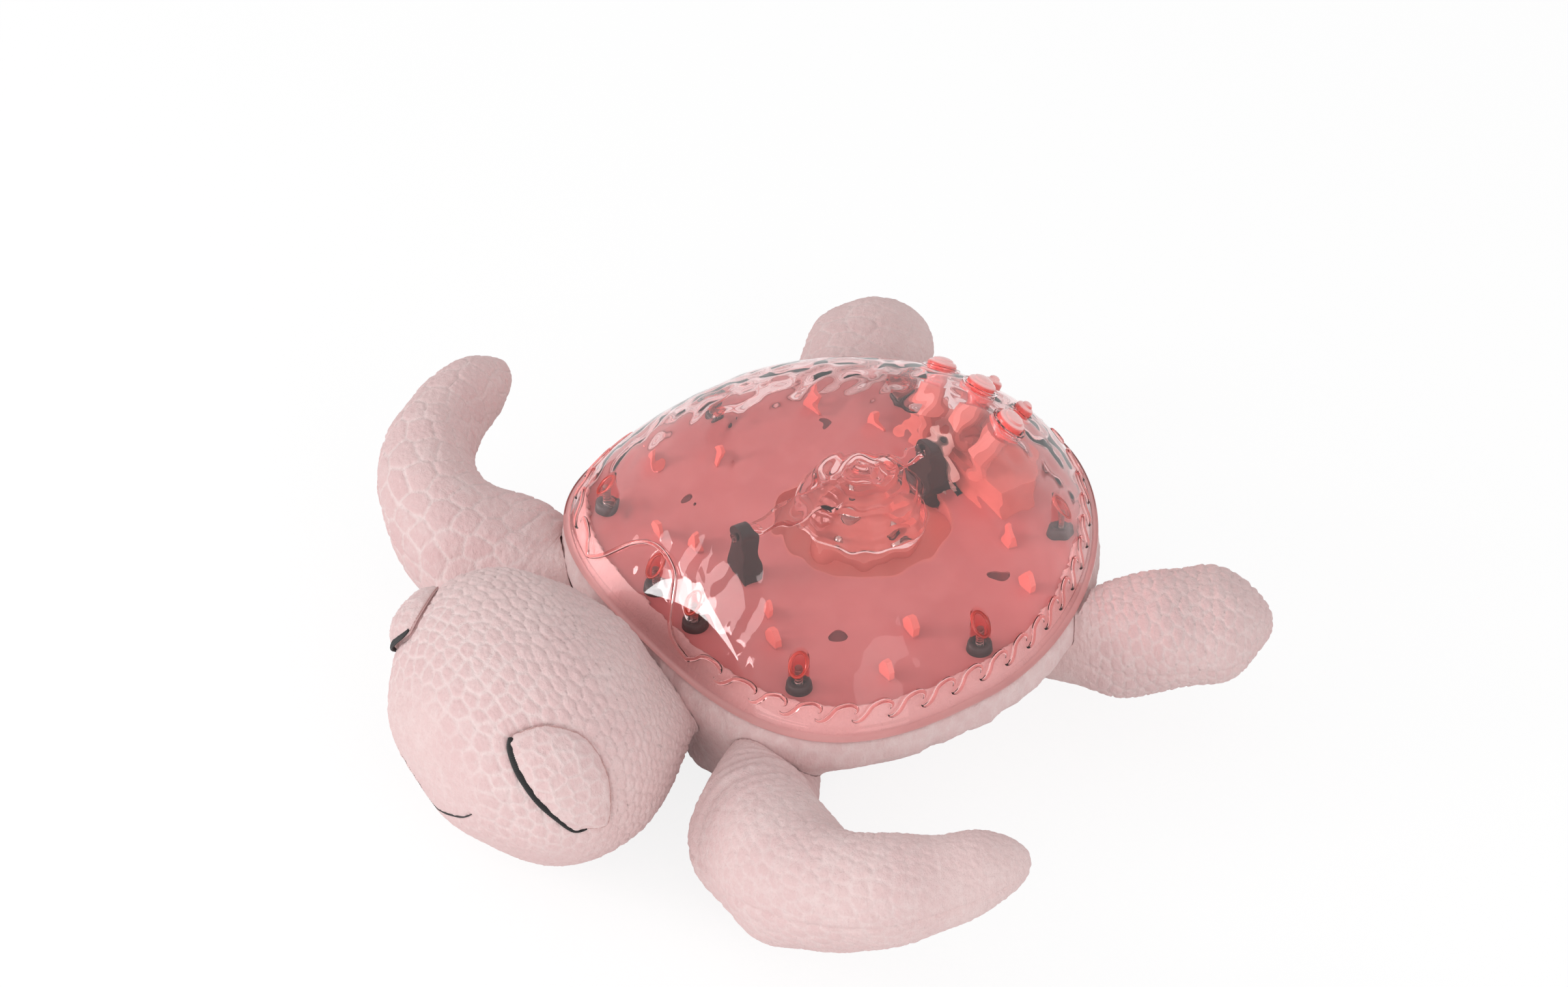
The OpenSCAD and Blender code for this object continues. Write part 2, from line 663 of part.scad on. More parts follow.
// Clear rippled lens, its arms and trunnion pins
module wave_lens() {
    edge = acos((lens_rim_z - lens_ball_z) / lens_ball);
    ripple = 0.5;
    ripples = 7;
    steps = 28;
    inner = lens_ball - lens_wall;
    inner_edge = acos((lens_rim_z - lens_ball_z) / inner);
    front_end = front_post_y + post_t / 2 + arm_gap;
    rear_end = rear_post_y - post_t / 2 - arm_gap;
    color([0.95, 0.8, 0.8, 0.4]) union() {
        translate([0, dome_mid_y, lens_ball_z]) rotate_extrude() polygon(concat(
            [for (j = [0:steps])
                let (f = edge * j / steps, r = lens_ball + ripple * sin(360 * ripples * j / steps))
                [r * sin(f), r * cos(f)]],
            [for (j = [steps / 2:-1:0])
                let (f = inner_edge * j / (steps / 2)) [inner * sin(f), inner * cos(f)]]));
        difference() {
            translate([0, 0, pivot_z - arm_t / 2]) linear_extrude(arm_t) polygon([
                [-arm_tip, front_end], [arm_tip, front_end], [arm_mid, dome_mid_y],
                [arm_tip, rear_end], [-arm_tip, rear_end], [-arm_mid, dome_mid_y]]);
            translate([0, dome_mid_y, lens_ball_z]) sphere(r = lens_ball - lens_wall / 2);
        }
        along_y(front_post_y - post_t / 2 - 2, post_t + 6) translate([0, -pivot_z]) circle(r = trunnion_r);
        along_y(rear_end - 3, gear_y + gear_t - rear_end + 3) translate([0, -pivot_z]) circle(r = trunnion_r);
    }
}

// Gear outline with a tooth along +X
module gear_outline(teeth) {
    p = 360 / teeth;
    r = gear_module * teeth / 2;
    root = r - 1.25 * gear_module;
    tip = r + 0.85 * gear_module;
    polygon([for (i = [0:teeth - 1], e = [[root, -0.3], [tip, -0.1], [tip, 0.1], [root, 0.3]])
        let (a = p * (i + e[1])) e[0] * [cos(a), sin(a)]]);
}
module sector_gear() {
    spread = 40;
    color("#efe9e2") along_y(gear_y, gear_t) translate([0, -pivot_z]) difference() {
        union() {
            intersection() {
                rotate(90) gear_outline(sector_teeth);
                polygon([[0, 0], 40 * [sin(spread), cos(spread)], [0, 60], 40 * [-sin(spread), cos(spread)]]);
            }
            circle(r = trunnion_r + 3);
        }
        circle(r = trunnion_r + 0.02);
    }
}
module drive_pinion() {
    color("#efe9e2") union() {
        along_y(gear_y, gear_t) translate([0, -pinion_z]) gear_outline(pinion_teeth);
        along_y(gear_y, motor_y - gear_y + motor_grip) translate([0, -pinion_z]) circle(r = motor_shaft_r);
    }
}

// Small motor with its nose, shaft bore and end cap
module motor() {
    color("#b9b9bd") difference() {
        union() {
            along_y(motor_y, motor_l) translate([0, -pinion_z]) circle(r = motor_r);
            along_y(motor_y - nose_l, nose_l + 1) translate([0, -pinion_z]) circle(r = nose_r);
            along_y(motor_y + motor_l - 1, 2.5) translate([0, -pinion_z]) circle(r = motor_r - 2.5);
        }
        along_y(motor_y - nose_l - 1, nose_l + motor_grip + 2)
            translate([0, -pinion_z]) circle(r = motor_shaft_r + run_gap);
    }
}
module motor_bracket() {
    strap = 2.4;
    grip = motor_r + run_gap;
    ear = 9;
    color("#d8d2cc") along_y(motor_y + 4, 12) {
        intersection() {
            translate([0, -pinion_z]) difference() {
                circle(r = grip + strap);
                circle(r = grip);
            }
            translate([-grip - strap, -plate_bottom]) square([2 * (grip + strap), 2 * grip]);
        }
        for (x = [-1, 1])
            translate([x * (grip + strap / 2 + ear / 2) - ear / 2, -plate_bottom]) square([ear, strap]);
    }
}

// Lamps: a round board under the dish, and lamps that stand up through it
module led_board() {
    color("#3f7f4f") translate([0, dome_mid_y, dish_floor - dish_t - board_t])
        cylinder(r = led_circle + 7, h = board_t);
}
module leds() {
    color("#f4f4ee") led_places() translate([0, 0, dish_floor - dish_t]) {
        cylinder(r = led_r, h = led_stem);
        translate([0, 0, led_stem]) sphere(r = led_r);
    }
}

// Coral tower with a guide tube and pillar under each button
module button_tower() {
    spots = concat(big_spots, small_spots);
    roof = plate_top + tower_h;
    color(coral) difference() {
        union() {
            difference() {
                tower_block(0, tower_h);
                tower_block(tower_wall, tower_h - tower_wall);
            }
            for (s = spots) on_dome(s)
                translate([0, 0, -well_depth - well_floor])
                    cylinder(r = column_r, h = well_depth + well_floor - column_depth, $fn = 12);
            for (s = spots) {
                foot = tube_foot(s);
                translate([foot.x, foot.y, roof - 1])
                    cylinder(r = pillar_r, h = foot.z - roof + 1, $fn = 8);
            }
        }
        for (s = spots) on_dome(s)
            translate([0, 0, -well_depth]) cylinder(r = stem_r + run_gap, h = well_depth);
        along_y(tower_y - 1, tower_wall + 2) translate([0, -pinion_z]) circle(r = nose_r + drop_gap);
    }
}
function tube_foot(spot) = let (p = dome_mid + spot) [p.x, p.y, dome_z(p)] - well_depth * dome_normal(p);
module tower_block(inset, height) {
    w = tower_half_w - inset;
    corner = 10;
    y1 = tower_y + tower_l - inset;
    under = inset > 0 ? 1 : 0;
    translate([0, 0, plate_top - under]) linear_extrude(height + under) polygon([
        [-w, tower_y + inset], [w, tower_y + inset], [w, y1 - corner], [w - corner, y1],
        [corner - w, y1], [-w, y1 - corner]]);
}

// Push button: domed cap, keeper flange and stem
module button(spot, r) {
    edge = 1.6;
    color(button_pink) on_dome(spot) rotate_extrude() polygon(concat(
        [[0, -stem_depth], [stem_r, -stem_depth], [stem_r, -button_under - flange_t],
         [r + flange_w, -button_under - flange_t], [r + flange_w, -button_under], [r, -button_under]],
        [for (f = [0:15:75]) [r - edge + edge * cos(f), button_rise - 2 * edge + edge * sin(f)]],
        [for (f = [0:30:90]) [(r - edge) * cos(f), button_rise - edge + edge * sin(f)]]));
}
module button_left() button(big_spots[2], big_button_r);
module button_center() button(big_spots[1], big_button_r);
module button_right() button(big_spots[0], big_button_r);
module small_button_left() button(small_spots[1], small_button_r);
module small_button_right() button(small_spots[0], small_button_r);

// Press switches at the foot of each stem
module switches() {
    color("#2b2b2e") for (s = concat(big_spots, small_spots)) on_dome(s) translate([0, 0, -well_depth]) {
        cylinder(r = stem_r, h = switch_h);
        cylinder(r = 1.3, h = switch_h + switch_tip);
    }
}

// Control board on four stand-offs above the battery box
module board_places() {
    for (x = [-1, 1], y = [board_edge, board_l - board_edge])
        translate([x * (board_w / 2 - board_edge), board_y + y, 0]) children();
}
module control_board() {
    color("#3f7f4f") union() {
        translate([-board_w / 2, board_y, board_z]) cube([board_w, board_l, board_t]);
        translate([-10, board_y + 16, board_z + 1]) cube([14, 14, 2.6]);
        translate([12, board_y + 26, board_z + 1]) cube([9, 12, 6]);
        for (x = [-18, 18]) translate([x, board_y + 10, board_z + 1]) cylinder(r = 4, h = 11);
    }
}

// Speaker lying on the tub's floor
module speaker() {
    color("#3a3638") translate([0, speaker_y, bowl_floor]) rotate_extrude() polygon([
        [0, 3.2], [6, 3.2], [speaker_r - 3.5, 1.2], [speaker_r - 2.5, 0], [speaker_r, 0], [speaker_r, 2],
        [speaker_r - 2, 2.6], [8, 7], [8, 12], [0, 12]]);
}

// Three cells side by side, turned head to tail
module battery_cells() {
    for (i = [-1:1]) {
        tail = i == 0 ? 1 : -1;
        color("#8f969c") translate([i * cell_pitch, pocket_y + pocket_l / 2, door_top + 0.5 + cell_r])
            rotate([90 * tail, 0, 0]) translate([0, 0, spring_l / 2 - (cell_l + cell_nub) / 2]) {
                cylinder(r = cell_r, h = cell_l);
                cylinder(r = 2.7, h = cell_l + cell_nub);
            }
    }
}
module battery_contacts() {
    for (i = [-1:1], end = [-1, 1]) {
        sprung = (i == 0) == (end > 0);
        color("#c9c9c9") translate([i * cell_pitch, pocket_y + pocket_l / 2, door_top + 0.5 + cell_r])
            rotate([-90 * end, 0, 0]) translate([0, 0, pocket_l / 2 - leaf_t]) {
                translate([-5, -5, 0]) cube([10, 10, leaf_t]);
                if (sprung) translate([0, 0, 0.2 - spring_l]) cylinder(r1 = 2.6, r2 = 4, h = spring_l);
            }
    }
}

// Battery door with a round hinge edge, two pins and a captive screw
module battery_door() {
    color("#cf8b88") difference() {
        union() {
            translate([-door_half_w, hinge_y, door_z]) cube([2 * door_half_w, door_l - door_r, door_t]);
            translate([-door_half_w, hinge_y, hinge_z]) rotate([0, 90, 0])
                cylinder(r = door_r, h = 2 * door_half_w);
            translate([-door_half_w - hinge_pin_l, hinge_y, hinge_z]) rotate([0, 90, 0])
                cylinder(r = hinge_pin_r, h = 2 * (door_half_w + hinge_pin_l));
        }
        translate([0, latch_y, door_z - 1]) cylinder(r = latch_r + 0.1, h = door_t + 2);
        translate([0, latch_y, door_z - 1]) cylinder(r = screw_head_r, h = 2.2);
        for (x = [-12:6:12]) translate([x - 1, door_y + door_l - 20, door_z - 1]) cube([2, 9, 1.6]);
    }
}
module door_screw() {
    color("#8d8d90") translate([0, latch_y, door_z]) {
        cylinder(r = latch_r, h = door_t + 4);
        difference() {
            translate([0, 0, 0.2]) cylinder(r = screw_head_r - 0.15, h = 1);
            for (f = [0, 90]) rotate(f) translate([-2, -0.4, -1]) cube([4, 0.8, 1.7]);
        }
    }
}

plush_body();
plush_head();
eyelid_left();
eyelid_right();
front_flipper_left();
front_flipper_right();
rear_flipper_left();
rear_flipper_right();
shell_dome();
dome_screws();
base_plate();
base_housing();
housing_screws();
bearing_post_front();
bearing_post_rear();
wave_lens();
sector_gear();
drive_pinion();
motor();
motor_bracket();
led_board();
leds();
button_tower();
switches();
button_left();
button_center();
button_right();
small_button_left();
small_button_right();
control_board();
speaker();
battery_cells();
battery_contacts();
battery_door();
door_screw();
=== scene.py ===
"""Looks of the plush turtle night light: stuffed velour pieces, stitched face, clear scrolled shell."""

import math

import bpy
import numpy as np
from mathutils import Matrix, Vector, kdtree


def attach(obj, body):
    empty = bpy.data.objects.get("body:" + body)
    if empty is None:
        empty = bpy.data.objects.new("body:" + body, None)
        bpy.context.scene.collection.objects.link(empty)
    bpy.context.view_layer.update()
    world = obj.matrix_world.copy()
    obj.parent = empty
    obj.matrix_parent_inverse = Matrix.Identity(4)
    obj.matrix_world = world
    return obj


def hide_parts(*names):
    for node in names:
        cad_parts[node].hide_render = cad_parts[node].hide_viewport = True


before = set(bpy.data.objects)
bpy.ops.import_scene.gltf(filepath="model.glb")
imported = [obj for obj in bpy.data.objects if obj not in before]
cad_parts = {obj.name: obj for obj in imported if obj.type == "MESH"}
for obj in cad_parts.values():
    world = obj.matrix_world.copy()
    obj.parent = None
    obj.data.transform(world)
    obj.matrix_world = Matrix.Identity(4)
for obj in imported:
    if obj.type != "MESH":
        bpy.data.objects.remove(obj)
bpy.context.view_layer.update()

MM = 0.001

# Shell and base sizes in millimetres, the same as the part's own
SHELL_HALF_W = 102
FRONT_DEPTH = 89
REAR_DEPTH = 115
FRONT_POWER = 3.0
REAR_POWER = 1.7
RIM_Z = 67
DOME_H = 62
SHELL_WALL = 2.4
LIP_W = 2
LIP_T = 2
SHELL_MID_Y = 33
DOME_MID_Y = 48
DOME_POWER = 2.5
DOME_SHOULDER = 0.92
PLATE_INSET = 7.5
PLATE_TOP = 73
PLATE_T = 4
DISH_R = 34
BOSS_ANGLES = (-80, -44, 4, 55)
BOSS_INSET = 15
BOSS_R = 4
BOSS_BORE = 1.4
BOSS_LOW = 78.5
SEAT_H = 3.6
SCREW_TOP = 83.6

# Clear shell's finish: share of the dome that is its crown, swell outside and inside, rounding of the lip
CROWN_TO = 0.86
SKIN_SWELL = 0.07
HAMMER_SWELL = 0.19
LIP_ROUND = 0.8

# Scroll border: rim angles of its troughs on the left side, one wave as shares of its pitch and height
TROUGHS = (-75.5, -64.5, -54.5, *np.linspace(-47, 81, 18))
WAVE = ((-0.04, 0.14), (0, 0.03), (0.1, 0), (0.24, 0.12), (0.38, 0.4), (0.52, 0.77), (0.72, 0.96), (0.94, 1),
        (1.08, 0.84), (1.1, 0.6), (1.03, 0.44))
WAVE_LOW = 0.977
WAVE_REACH = 0.031
FLANK_SUM = -193.5
RIB_W = 1.9
RIB_RISE = 1.15
RIB_GAP = 0.06

# Plain front arch, as rim angles and shares of the way from the crown to the rim
ARCH = ((-115.75, 0.951), (-113, 0.912), (-110.5, 0.876), (-106.75, 0.846), (-101.75, 0.832), (-96, 0.836),
        (-90.5, 0.856), (-87, 0.9), (-84, 0.942), (-80.25, 0.966))

# Buttons, as plan places behind the dome's middle
BIG_SPOTS = ((-22, 55.5), (0, 58), (22, 55.5))
SMALL_SPOTS = ((-10, 72), (10, 72))
BIG_BUTTON_R = 6
SMALL_BUTTON_R = 3.9
BUTTON_GAP = 0.35

# Stuffed pieces
SOFT_GAP = 0.4
BELLY_OUT = 3
BELLY_TUCK = 66
BELLY_Z = 54
BELLY_POWER = 1.2
CHEST_FULL = 0.75
CHEST_FROM = 0.5
CHEST_SPAN = 0.3
BODY_BOTTOM = 6
FOOT_INSET = 56
BOWL_Z = 30
HOUSING_INSET = 26
HEAD_HALF = np.array([64, 50.5, 53.5])
HEAD_AT = np.array([0, -108.4, 53.8])
NECK_Y = SHELL_MID_Y - FRONT_DEPTH
NECK_W = 36
NECK_H = 16
NECK_Z = 46
NECK_FROM = 105
NECK_TO = 155
HEAD_TURNS = np.linspace(2, NECK_TO, 280)
FRONT_ROOT = (-49, 18, 29)
FRONT_STEPS = ((62, -23, 23), (82, -4, 34), (94, 53, 34))
REAR_ROOT = (37, 6, 46)
REAR_STEPS = ((11, 14, 1), (22, 39, 7), (41, 58, 6))

# Sewn roots of the limbs: degrees and height where the body stays calm, passes and rings of smoothing
ROOT_SPAN = 26
ROOT_RISE = 36
ROOT_PASSES = 80
ROOT_RINGS = 40

# Left eye on the head, as directions scaled by the head's half sizes
LASH = ((0.552, -0.584, 0.595), (0.586, -0.616, 0.526), (0.663, -0.622, 0.416), (0.734, -0.601, 0.317),
        (0.804, -0.558, 0.205), (0.873, -0.48, 0.085), (0.922, -0.384, -0.036), (0.953, -0.3, -0.036))
LID_SEAM = ((0.984, -0.17, -0.061), (0.991, -0.132, 0.033), (0.961, -0.099, 0.257), (0.9, -0.102, 0.424),
            (0.814, -0.144, 0.563), (0.75, -0.212, 0.626), (0.665, -0.336, 0.667), (0.606, -0.451, 0.655))
LID_BULGE = 4.6
LID_CREASE = 0.8
LID_CREASE_W = 1.6
MOUTH = ((-27.3, 47.1), (-22.3, 42.5), (-15.6, 39.2), (-9, 36), (0, 32), (9, 36), (15.6, 39.2), (22.3, 42.5),
         (27.3, 47.1))
MOUTH_DEPTH = 0.6
MOUTH_W = 1.2
HEAD_LUMP = 0.7

# Photograph's camera, and where the lamps look
CAMERA_AT = Vector((875.5, -618.6, 1004.2)) * MM
CAMERA_AZIMUTH = 54.32
CAMERA_ELEVATION = 39.82
FOCAL_PIXELS = 5575
IMAGE_W = 2408
SENSOR_W = 36
LAMP_AIM = Vector((0, 0, 0.07))


# Outlines and surfaces shared with the solid part

def lerp(a, b, t):
    return a + (b - a) * t


def ease(t):
    t = np.clip(t, 0, 1)
    return t * t * (3 - 2 * t)


def unit(v):
    return v / np.linalg.norm(v, axis=-1, keepdims=True)


def circle(count):
    return np.linspace(0, 2 * np.pi, count, endpoint=False)


def rim_point(angle, grow=0.0):
    """Point of the shell's rim, grown outward, at an angle in degrees about the rim's middle."""
    a = np.radians(angle)
    front = np.sin(a) < 0
    power = np.where(front, FRONT_POWER, REAR_POWER)
    depth = np.where(front, FRONT_DEPTH, REAR_DEPTH) + grow
    level = (np.abs(np.cos(a)) / (SHELL_HALF_W + grow)) ** power + (np.abs(np.sin(a)) / depth) ** power
    r = level ** (-1 / power)
    return np.stack([r * np.cos(a), SHELL_MID_Y + r * np.sin(a)], -1)


def rim_ring(angles, z, grow):
    return np.concatenate([rim_point(angles, grow), np.full((len(angles), 1), float(z))], -1)


def dome_rise(s):
    return np.maximum(0, 1 - s ** DOME_POWER) ** DOME_SHOULDER


def dome_point(angle, s, grow=0.0):
    """Point of the dome at a rim angle and a share of the way from the crown to the rim."""
    middle = np.array([0, DOME_MID_Y])
    s = np.asarray(s, float) + 0 * np.asarray(angle, float)
    plan = middle + s[..., None] * (rim_point(angle, grow) - middle)
    return np.concatenate([plan, (RIM_Z + (DOME_H + grow) * dome_rise(s))[..., None]], -1)


def dome_share(z, grow):
    return (1 - ((z - RIM_Z) / (DOME_H + grow)) ** (1 / DOME_SHOULDER)) ** (1 / DOME_POWER)


def rim_level(x, y):
    front = y < SHELL_MID_Y
    power = FRONT_POWER if front else REAR_POWER
    depth = FRONT_DEPTH if front else REAR_DEPTH
    return (abs(x) / SHELL_HALF_W) ** power + (abs(y - SHELL_MID_Y) / depth) ** power


def dome_height(x, y):
    """Height of the dome above a plan point, by halving the share of the way to the rim."""
    low = 0.001
    high = 1.0
    for _ in range(40):
        share = (low + high) / 2
        if rim_level(x / share, DOME_MID_Y + (y - DOME_MID_Y) / share) > 1:
            low = share
        else:
            high = share
    return RIM_Z + DOME_H * float(dome_rise(np.array(share)))


def dome_frame(spot):
    """Place of the dome at a plan spot behind its middle, and the turn of Z to its normal."""
    x = spot[0]
    y = DOME_MID_Y + spot[1]
    step = 0.5
    normal = Vector((dome_height(x - step, y) - dome_height(x + step, y),
                     dome_height(x, y - step) - dome_height(x, y + step), 2 * step)).normalized()
    return np.array([x, y, dome_height(x, y)]), np.array(normal.to_track_quat("Z", "Y").to_matrix())


def body_grow(z, angle):
    """Outward growth of the stuffed body's side beyond the rim; the chest in front is tucked less."""
    chest = ease((-np.sin(np.radians(angle)) - CHEST_FROM) / CHEST_SPAN)
    tuck = (1 - CHEST_FULL * chest) * np.maximum(0, 1 - np.maximum(0, z) / BELLY_Z) ** BELLY_POWER
    return BELLY_OUT - BELLY_TUCK * tuck - BELLY_OUT * (np.maximum(0, z - BELLY_Z) / (RIM_Z - BELLY_Z)) ** 2


def on_body(p):
    """Nearest point beside the stuffed body at a point's own height."""
    angle = np.degrees(np.arctan2(p[..., 1] - SHELL_MID_Y, p[..., 0]))
    plan = rim_point(angle, body_grow(p[..., 2], angle) + SOFT_GAP)
    return np.concatenate([plan, p[..., 2:]], -1)


def curve(points, t):
    """Points of a smooth curve of four control points."""
    c = np.asarray(points, float)
    t = np.asarray(t, float)[..., None]
    u = 1 - t
    return u ** 3 * c[0] + 3 * u * u * t * c[1] + 3 * u * t * t * c[2] + t ** 3 * c[3]


def through(points, count, loop=False):
    """Evenly stepped smooth path through a few points."""
    p = np.asarray(points, float)
    n = len(p)
    spans = n if loop else n - 1
    t = np.linspace(0, spans, count, endpoint=not loop)
    i = np.minimum(t.astype(int), spans - 1)
    f = (t - i)[:, None]

    def at(k):
        return p[k % n] if loop else p[np.clip(k, 0, n - 1)]

    a, b, c, d = (at(i + step) for step in (-1, 0, 1, 2))
    square = 2 * a - 5 * b + 4 * c - d
    cube = 3 * b - a - 3 * c + d
    return 0.5 * (2 * b + (c - a) * f + square * f ** 2 + cube * f ** 3)


def ripples(points, wave_mm, seed):
    """Even random swell of unit height over points, from plane waves about one length."""
    count = 24
    rng = np.random.default_rng(seed)
    ways = unit(rng.normal(size=(count, 3)))
    lengths = wave_mm * rng.uniform(0.7, 1.5, count)
    phases = rng.uniform(0, 2 * np.pi, count)
    waves = np.sin(points @ (ways * (2 * np.pi / lengths)[:, None]).T + phases)
    return waves.sum(-1) / math.sqrt(count / 2)


def gap_to(points, marks):
    """Distance from each point to the nearest mark."""
    tree = kdtree.KDTree(len(marks))
    for i, mark_point in enumerate(marks):
        tree.insert(mark_point, i)
    tree.balance()
    return np.array([tree.find(p)[2] for p in points])


# Meshes

def make_piece(name, points, faces, material):
    """A smooth mesh piece from points in millimetres, riding on the turtle."""
    mesh = bpy.data.meshes.new(name)
    mesh.from_pydata((np.asarray(points) * MM).tolist(), [], [list(f) for f in faces])
    mesh.polygons.foreach_set("use_smooth", np.ones(len(mesh.polygons), bool))
    mesh.materials.append(material)
    piece = bpy.data.objects.new(name, mesh)
    bpy.context.scene.collection.objects.link(piece)
    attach(piece, "turtle")
    return piece


def loft_faces(rows, columns, loop=False, start=0):
    """Outward quads between rings of equal count."""
    j = np.arange(rows if loop else rows - 1)[:, None]
    k = np.arange(columns)[None, :]
    after = (k + 1) % columns
    below = (j + 1) % rows
    quads = np.stack([below * columns + k, below * columns + after, j * columns + after, j * columns + k], -1)
    return (quads.reshape(-1, 4) + start).tolist()


def loft_mesh(rings, ends=None, loop=False, start=0):
    """Points and faces through rings, closed by an end point each or back on the first ring."""
    rings = np.asarray(rings, float)
    rows, columns = rings.shape[:2]
    points = rings.reshape(-1, 3)
    faces = loft_faces(rows, columns, loop, start)
    if ends is not None:
        points = np.vstack([points, ends])
        first = start + len(points) - 2
        base = start + (rows - 1) * columns
        faces += [[start + k, start + (k + 1) % columns, first] for k in range(columns)]
        faces += [[base + (k + 1) % columns, base + k, first + 1] for k in range(columns)]
    return points, faces


def loft(name, rings, material, ends=None, loop=False):
    return make_piece(name, *loft_mesh(rings, ends, loop), material)


def gather(name, meshes, material):
    """One piece from several lofted meshes, each given as rings, ends and whether it loops."""
    points = np.zeros((0, 3))
    faces = []
    for rings, ends, loop in meshes:
        more_points, more_faces = loft_mesh(rings, ends, loop, len(points))
        points = np.vstack([points, more_points])
        faces += more_faces
    return make_piece(name, points, faces, material)


def add_trim(name, meshes, material):
    """Small trim gathered in one piece."""
    piece = gather(name, meshes, material)


def read_points(piece):
    points = np.empty(len(piece.data.vertices) * 3)
    piece.data.vertices.foreach_get("co", points)
    return points.reshape(-1, 3) / MM


def swell(piece, amounts):
    """Moves each point of a piece along its normal by an amount in millimetres, down to the floor at most."""
    normals = np.empty(len(piece.data.vertices) * 3)
    piece.data.vertices.foreach_get("normal", normals)
    moved = read_points(piece) + normals.reshape(-1, 3) * np.asarray(amounts)[:, None]
    moved[:, 2] = np.maximum(moved[:, 2], 0)
    piece.data.vertices.foreach_set("co", (moved * MM).ravel())
    piece.data.update()


# Sewn scales

JITTER = 0.55
SCALE_SINK = 0.7
PILE_MM = 0.1
PILE_WAVE = 2.4


def chance(i, j, seed):
    """Fixed random number from 0 to 1 for each pair of whole numbers."""
    v = np.sin(i * 127.1 + j * 311.7 + seed * 74.7) * 43758.5453
    return v - np.floor(v)


def course(rings):
    """Distance along lofted rings and girth of each, in millimetres."""
    steps = np.linalg.norm(np.diff(rings, axis=0), axis=2).mean(1)
    girths = np.linalg.norm(np.roll(rings, -1, 1) - rings, axis=2).sum(1)
    return np.concatenate([[0], np.cumsum(steps)]), girths


def scales(rings, row_pitch, column_pitch, seed, spots=None):
    """Edge distance and random tone of scales in staggered rows on lofted rings, or at spots among them.

    The pitches are functions of the distance along the piece in millimetres. Spots are pairs of such
    distances and of angles round the rings.
    """
    count = rings.shape[1]
    along, girth = course(rings)
    rows = [-3.0 * row_pitch(0.0)]
    while rows[-1] < along[-1] + 3 * row_pitch(along[-1]):
        rows.append(rows[-1] + row_pitch(max(0.0, rows[-1])))
    rows = np.array(rows)
    gaps = np.gradient(rows)
    radius = np.interp(rows, along, girth) / (2 * np.pi)
    pitch = np.array([column_pitch(max(0.0, r)) for r in rows])
    counts = np.maximum(5, np.round(2 * np.pi * radius / pitch))
    u, a = spots if spots else (np.repeat(along, count), np.tile(circle(count), len(along)))
    near = np.searchsorted(rows, u)
    first = np.full(len(u), 9.0)
    second = np.full(len(u), 9.0)
    tone = np.zeros(len(u))
    for row_step in (-2, -1, 0, 1):
        r = near + row_step
        n = counts[r]
        shift = 0.5 * (r % 2) + 0.5
        base = np.floor(a / (2 * np.pi) * n)
        for column_step in (-2, -1, 0, 1):
            c = base + column_step
            same = np.mod(c, n)
            at_angle = (c + shift + JITTER * (chance(r, same, seed) - 0.5)) / n * 2 * np.pi
            at_row = rows[r] + JITTER * gaps[r] * (chance(r, same, seed + 1) - 0.5)
            turn = (a - at_angle + np.pi) % (2 * np.pi) - np.pi
            d = np.hypot((u - at_row) / gaps[r], turn * n / (2 * np.pi))
            closer = d < first
            second = np.where(closer, first, np.minimum(second, d))
            tone = np.where(closer, chance(r, same, seed + 2), tone)
            first = np.where(closer, d, first)
    return second - first, tone


def mark(piece, name, values):
    """Writes a point layer; points past its end stay zero."""
    full = np.zeros(len(piece.data.vertices), np.float32)
    full[:len(values)] = values
    piece.data.attributes.new(name, "FLOAT", "POINT").data.foreach_set("value", full)


def quilt(piece, edge, tone, relief, printed, extra, groove=0.36):
    """Raises the scales of a stuffed piece by relief and extra, and marks them for its velour."""
    lift = np.zeros(len(piece.data.vertices))
    slope = np.minimum(edge / (2 * groove), 1)
    nap = PILE_MM * ripples(read_points(piece)[:len(edge)], PILE_WAVE, 31)
    rounded = np.sqrt(slope * (2 - slope)) - SCALE_SINK
    lift[:len(edge)] = relief * rounded + extra + nap * np.sign(relief + 1e-9)
    swell(piece, lift)
    mark(piece, "scale", ease(edge / groove))
    mark(piece, "tone", tone)
    mark(piece, "printed", printed + 0 * edge)


def plush(node):
    """A stuffed piece stands for its solid."""
    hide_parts(node)


# Materials

class Value:
    """A node socket that takes arithmetic: each operation adds a Math node."""

    def __init__(self, finish, socket):
        self.finish = finish
        self.socket = socket

    def math(self, operation, *terms):
        return self.finish.node("Math", {"operation": operation}, dict(enumerate(terms)))

    def __add__(self, other):
        return self.math("ADD", self, other)

    def __rsub__(self, other):
        return self.math("SUBTRACT", other, self)

    def __mul__(self, other):
        return self.math("MULTIPLY", self, other)

    def between(self, low, high):
        """Smooth step from 0 at low to 1 at high."""
        settings = {"interpolation_type": "SMOOTHSTEP"}
        return self.finish.node("MapRange", settings, {"Value": self, "From Min": low, "From Max": high})

    def output(self, name):
        return Value(self.finish, self.socket.node.outputs[name])


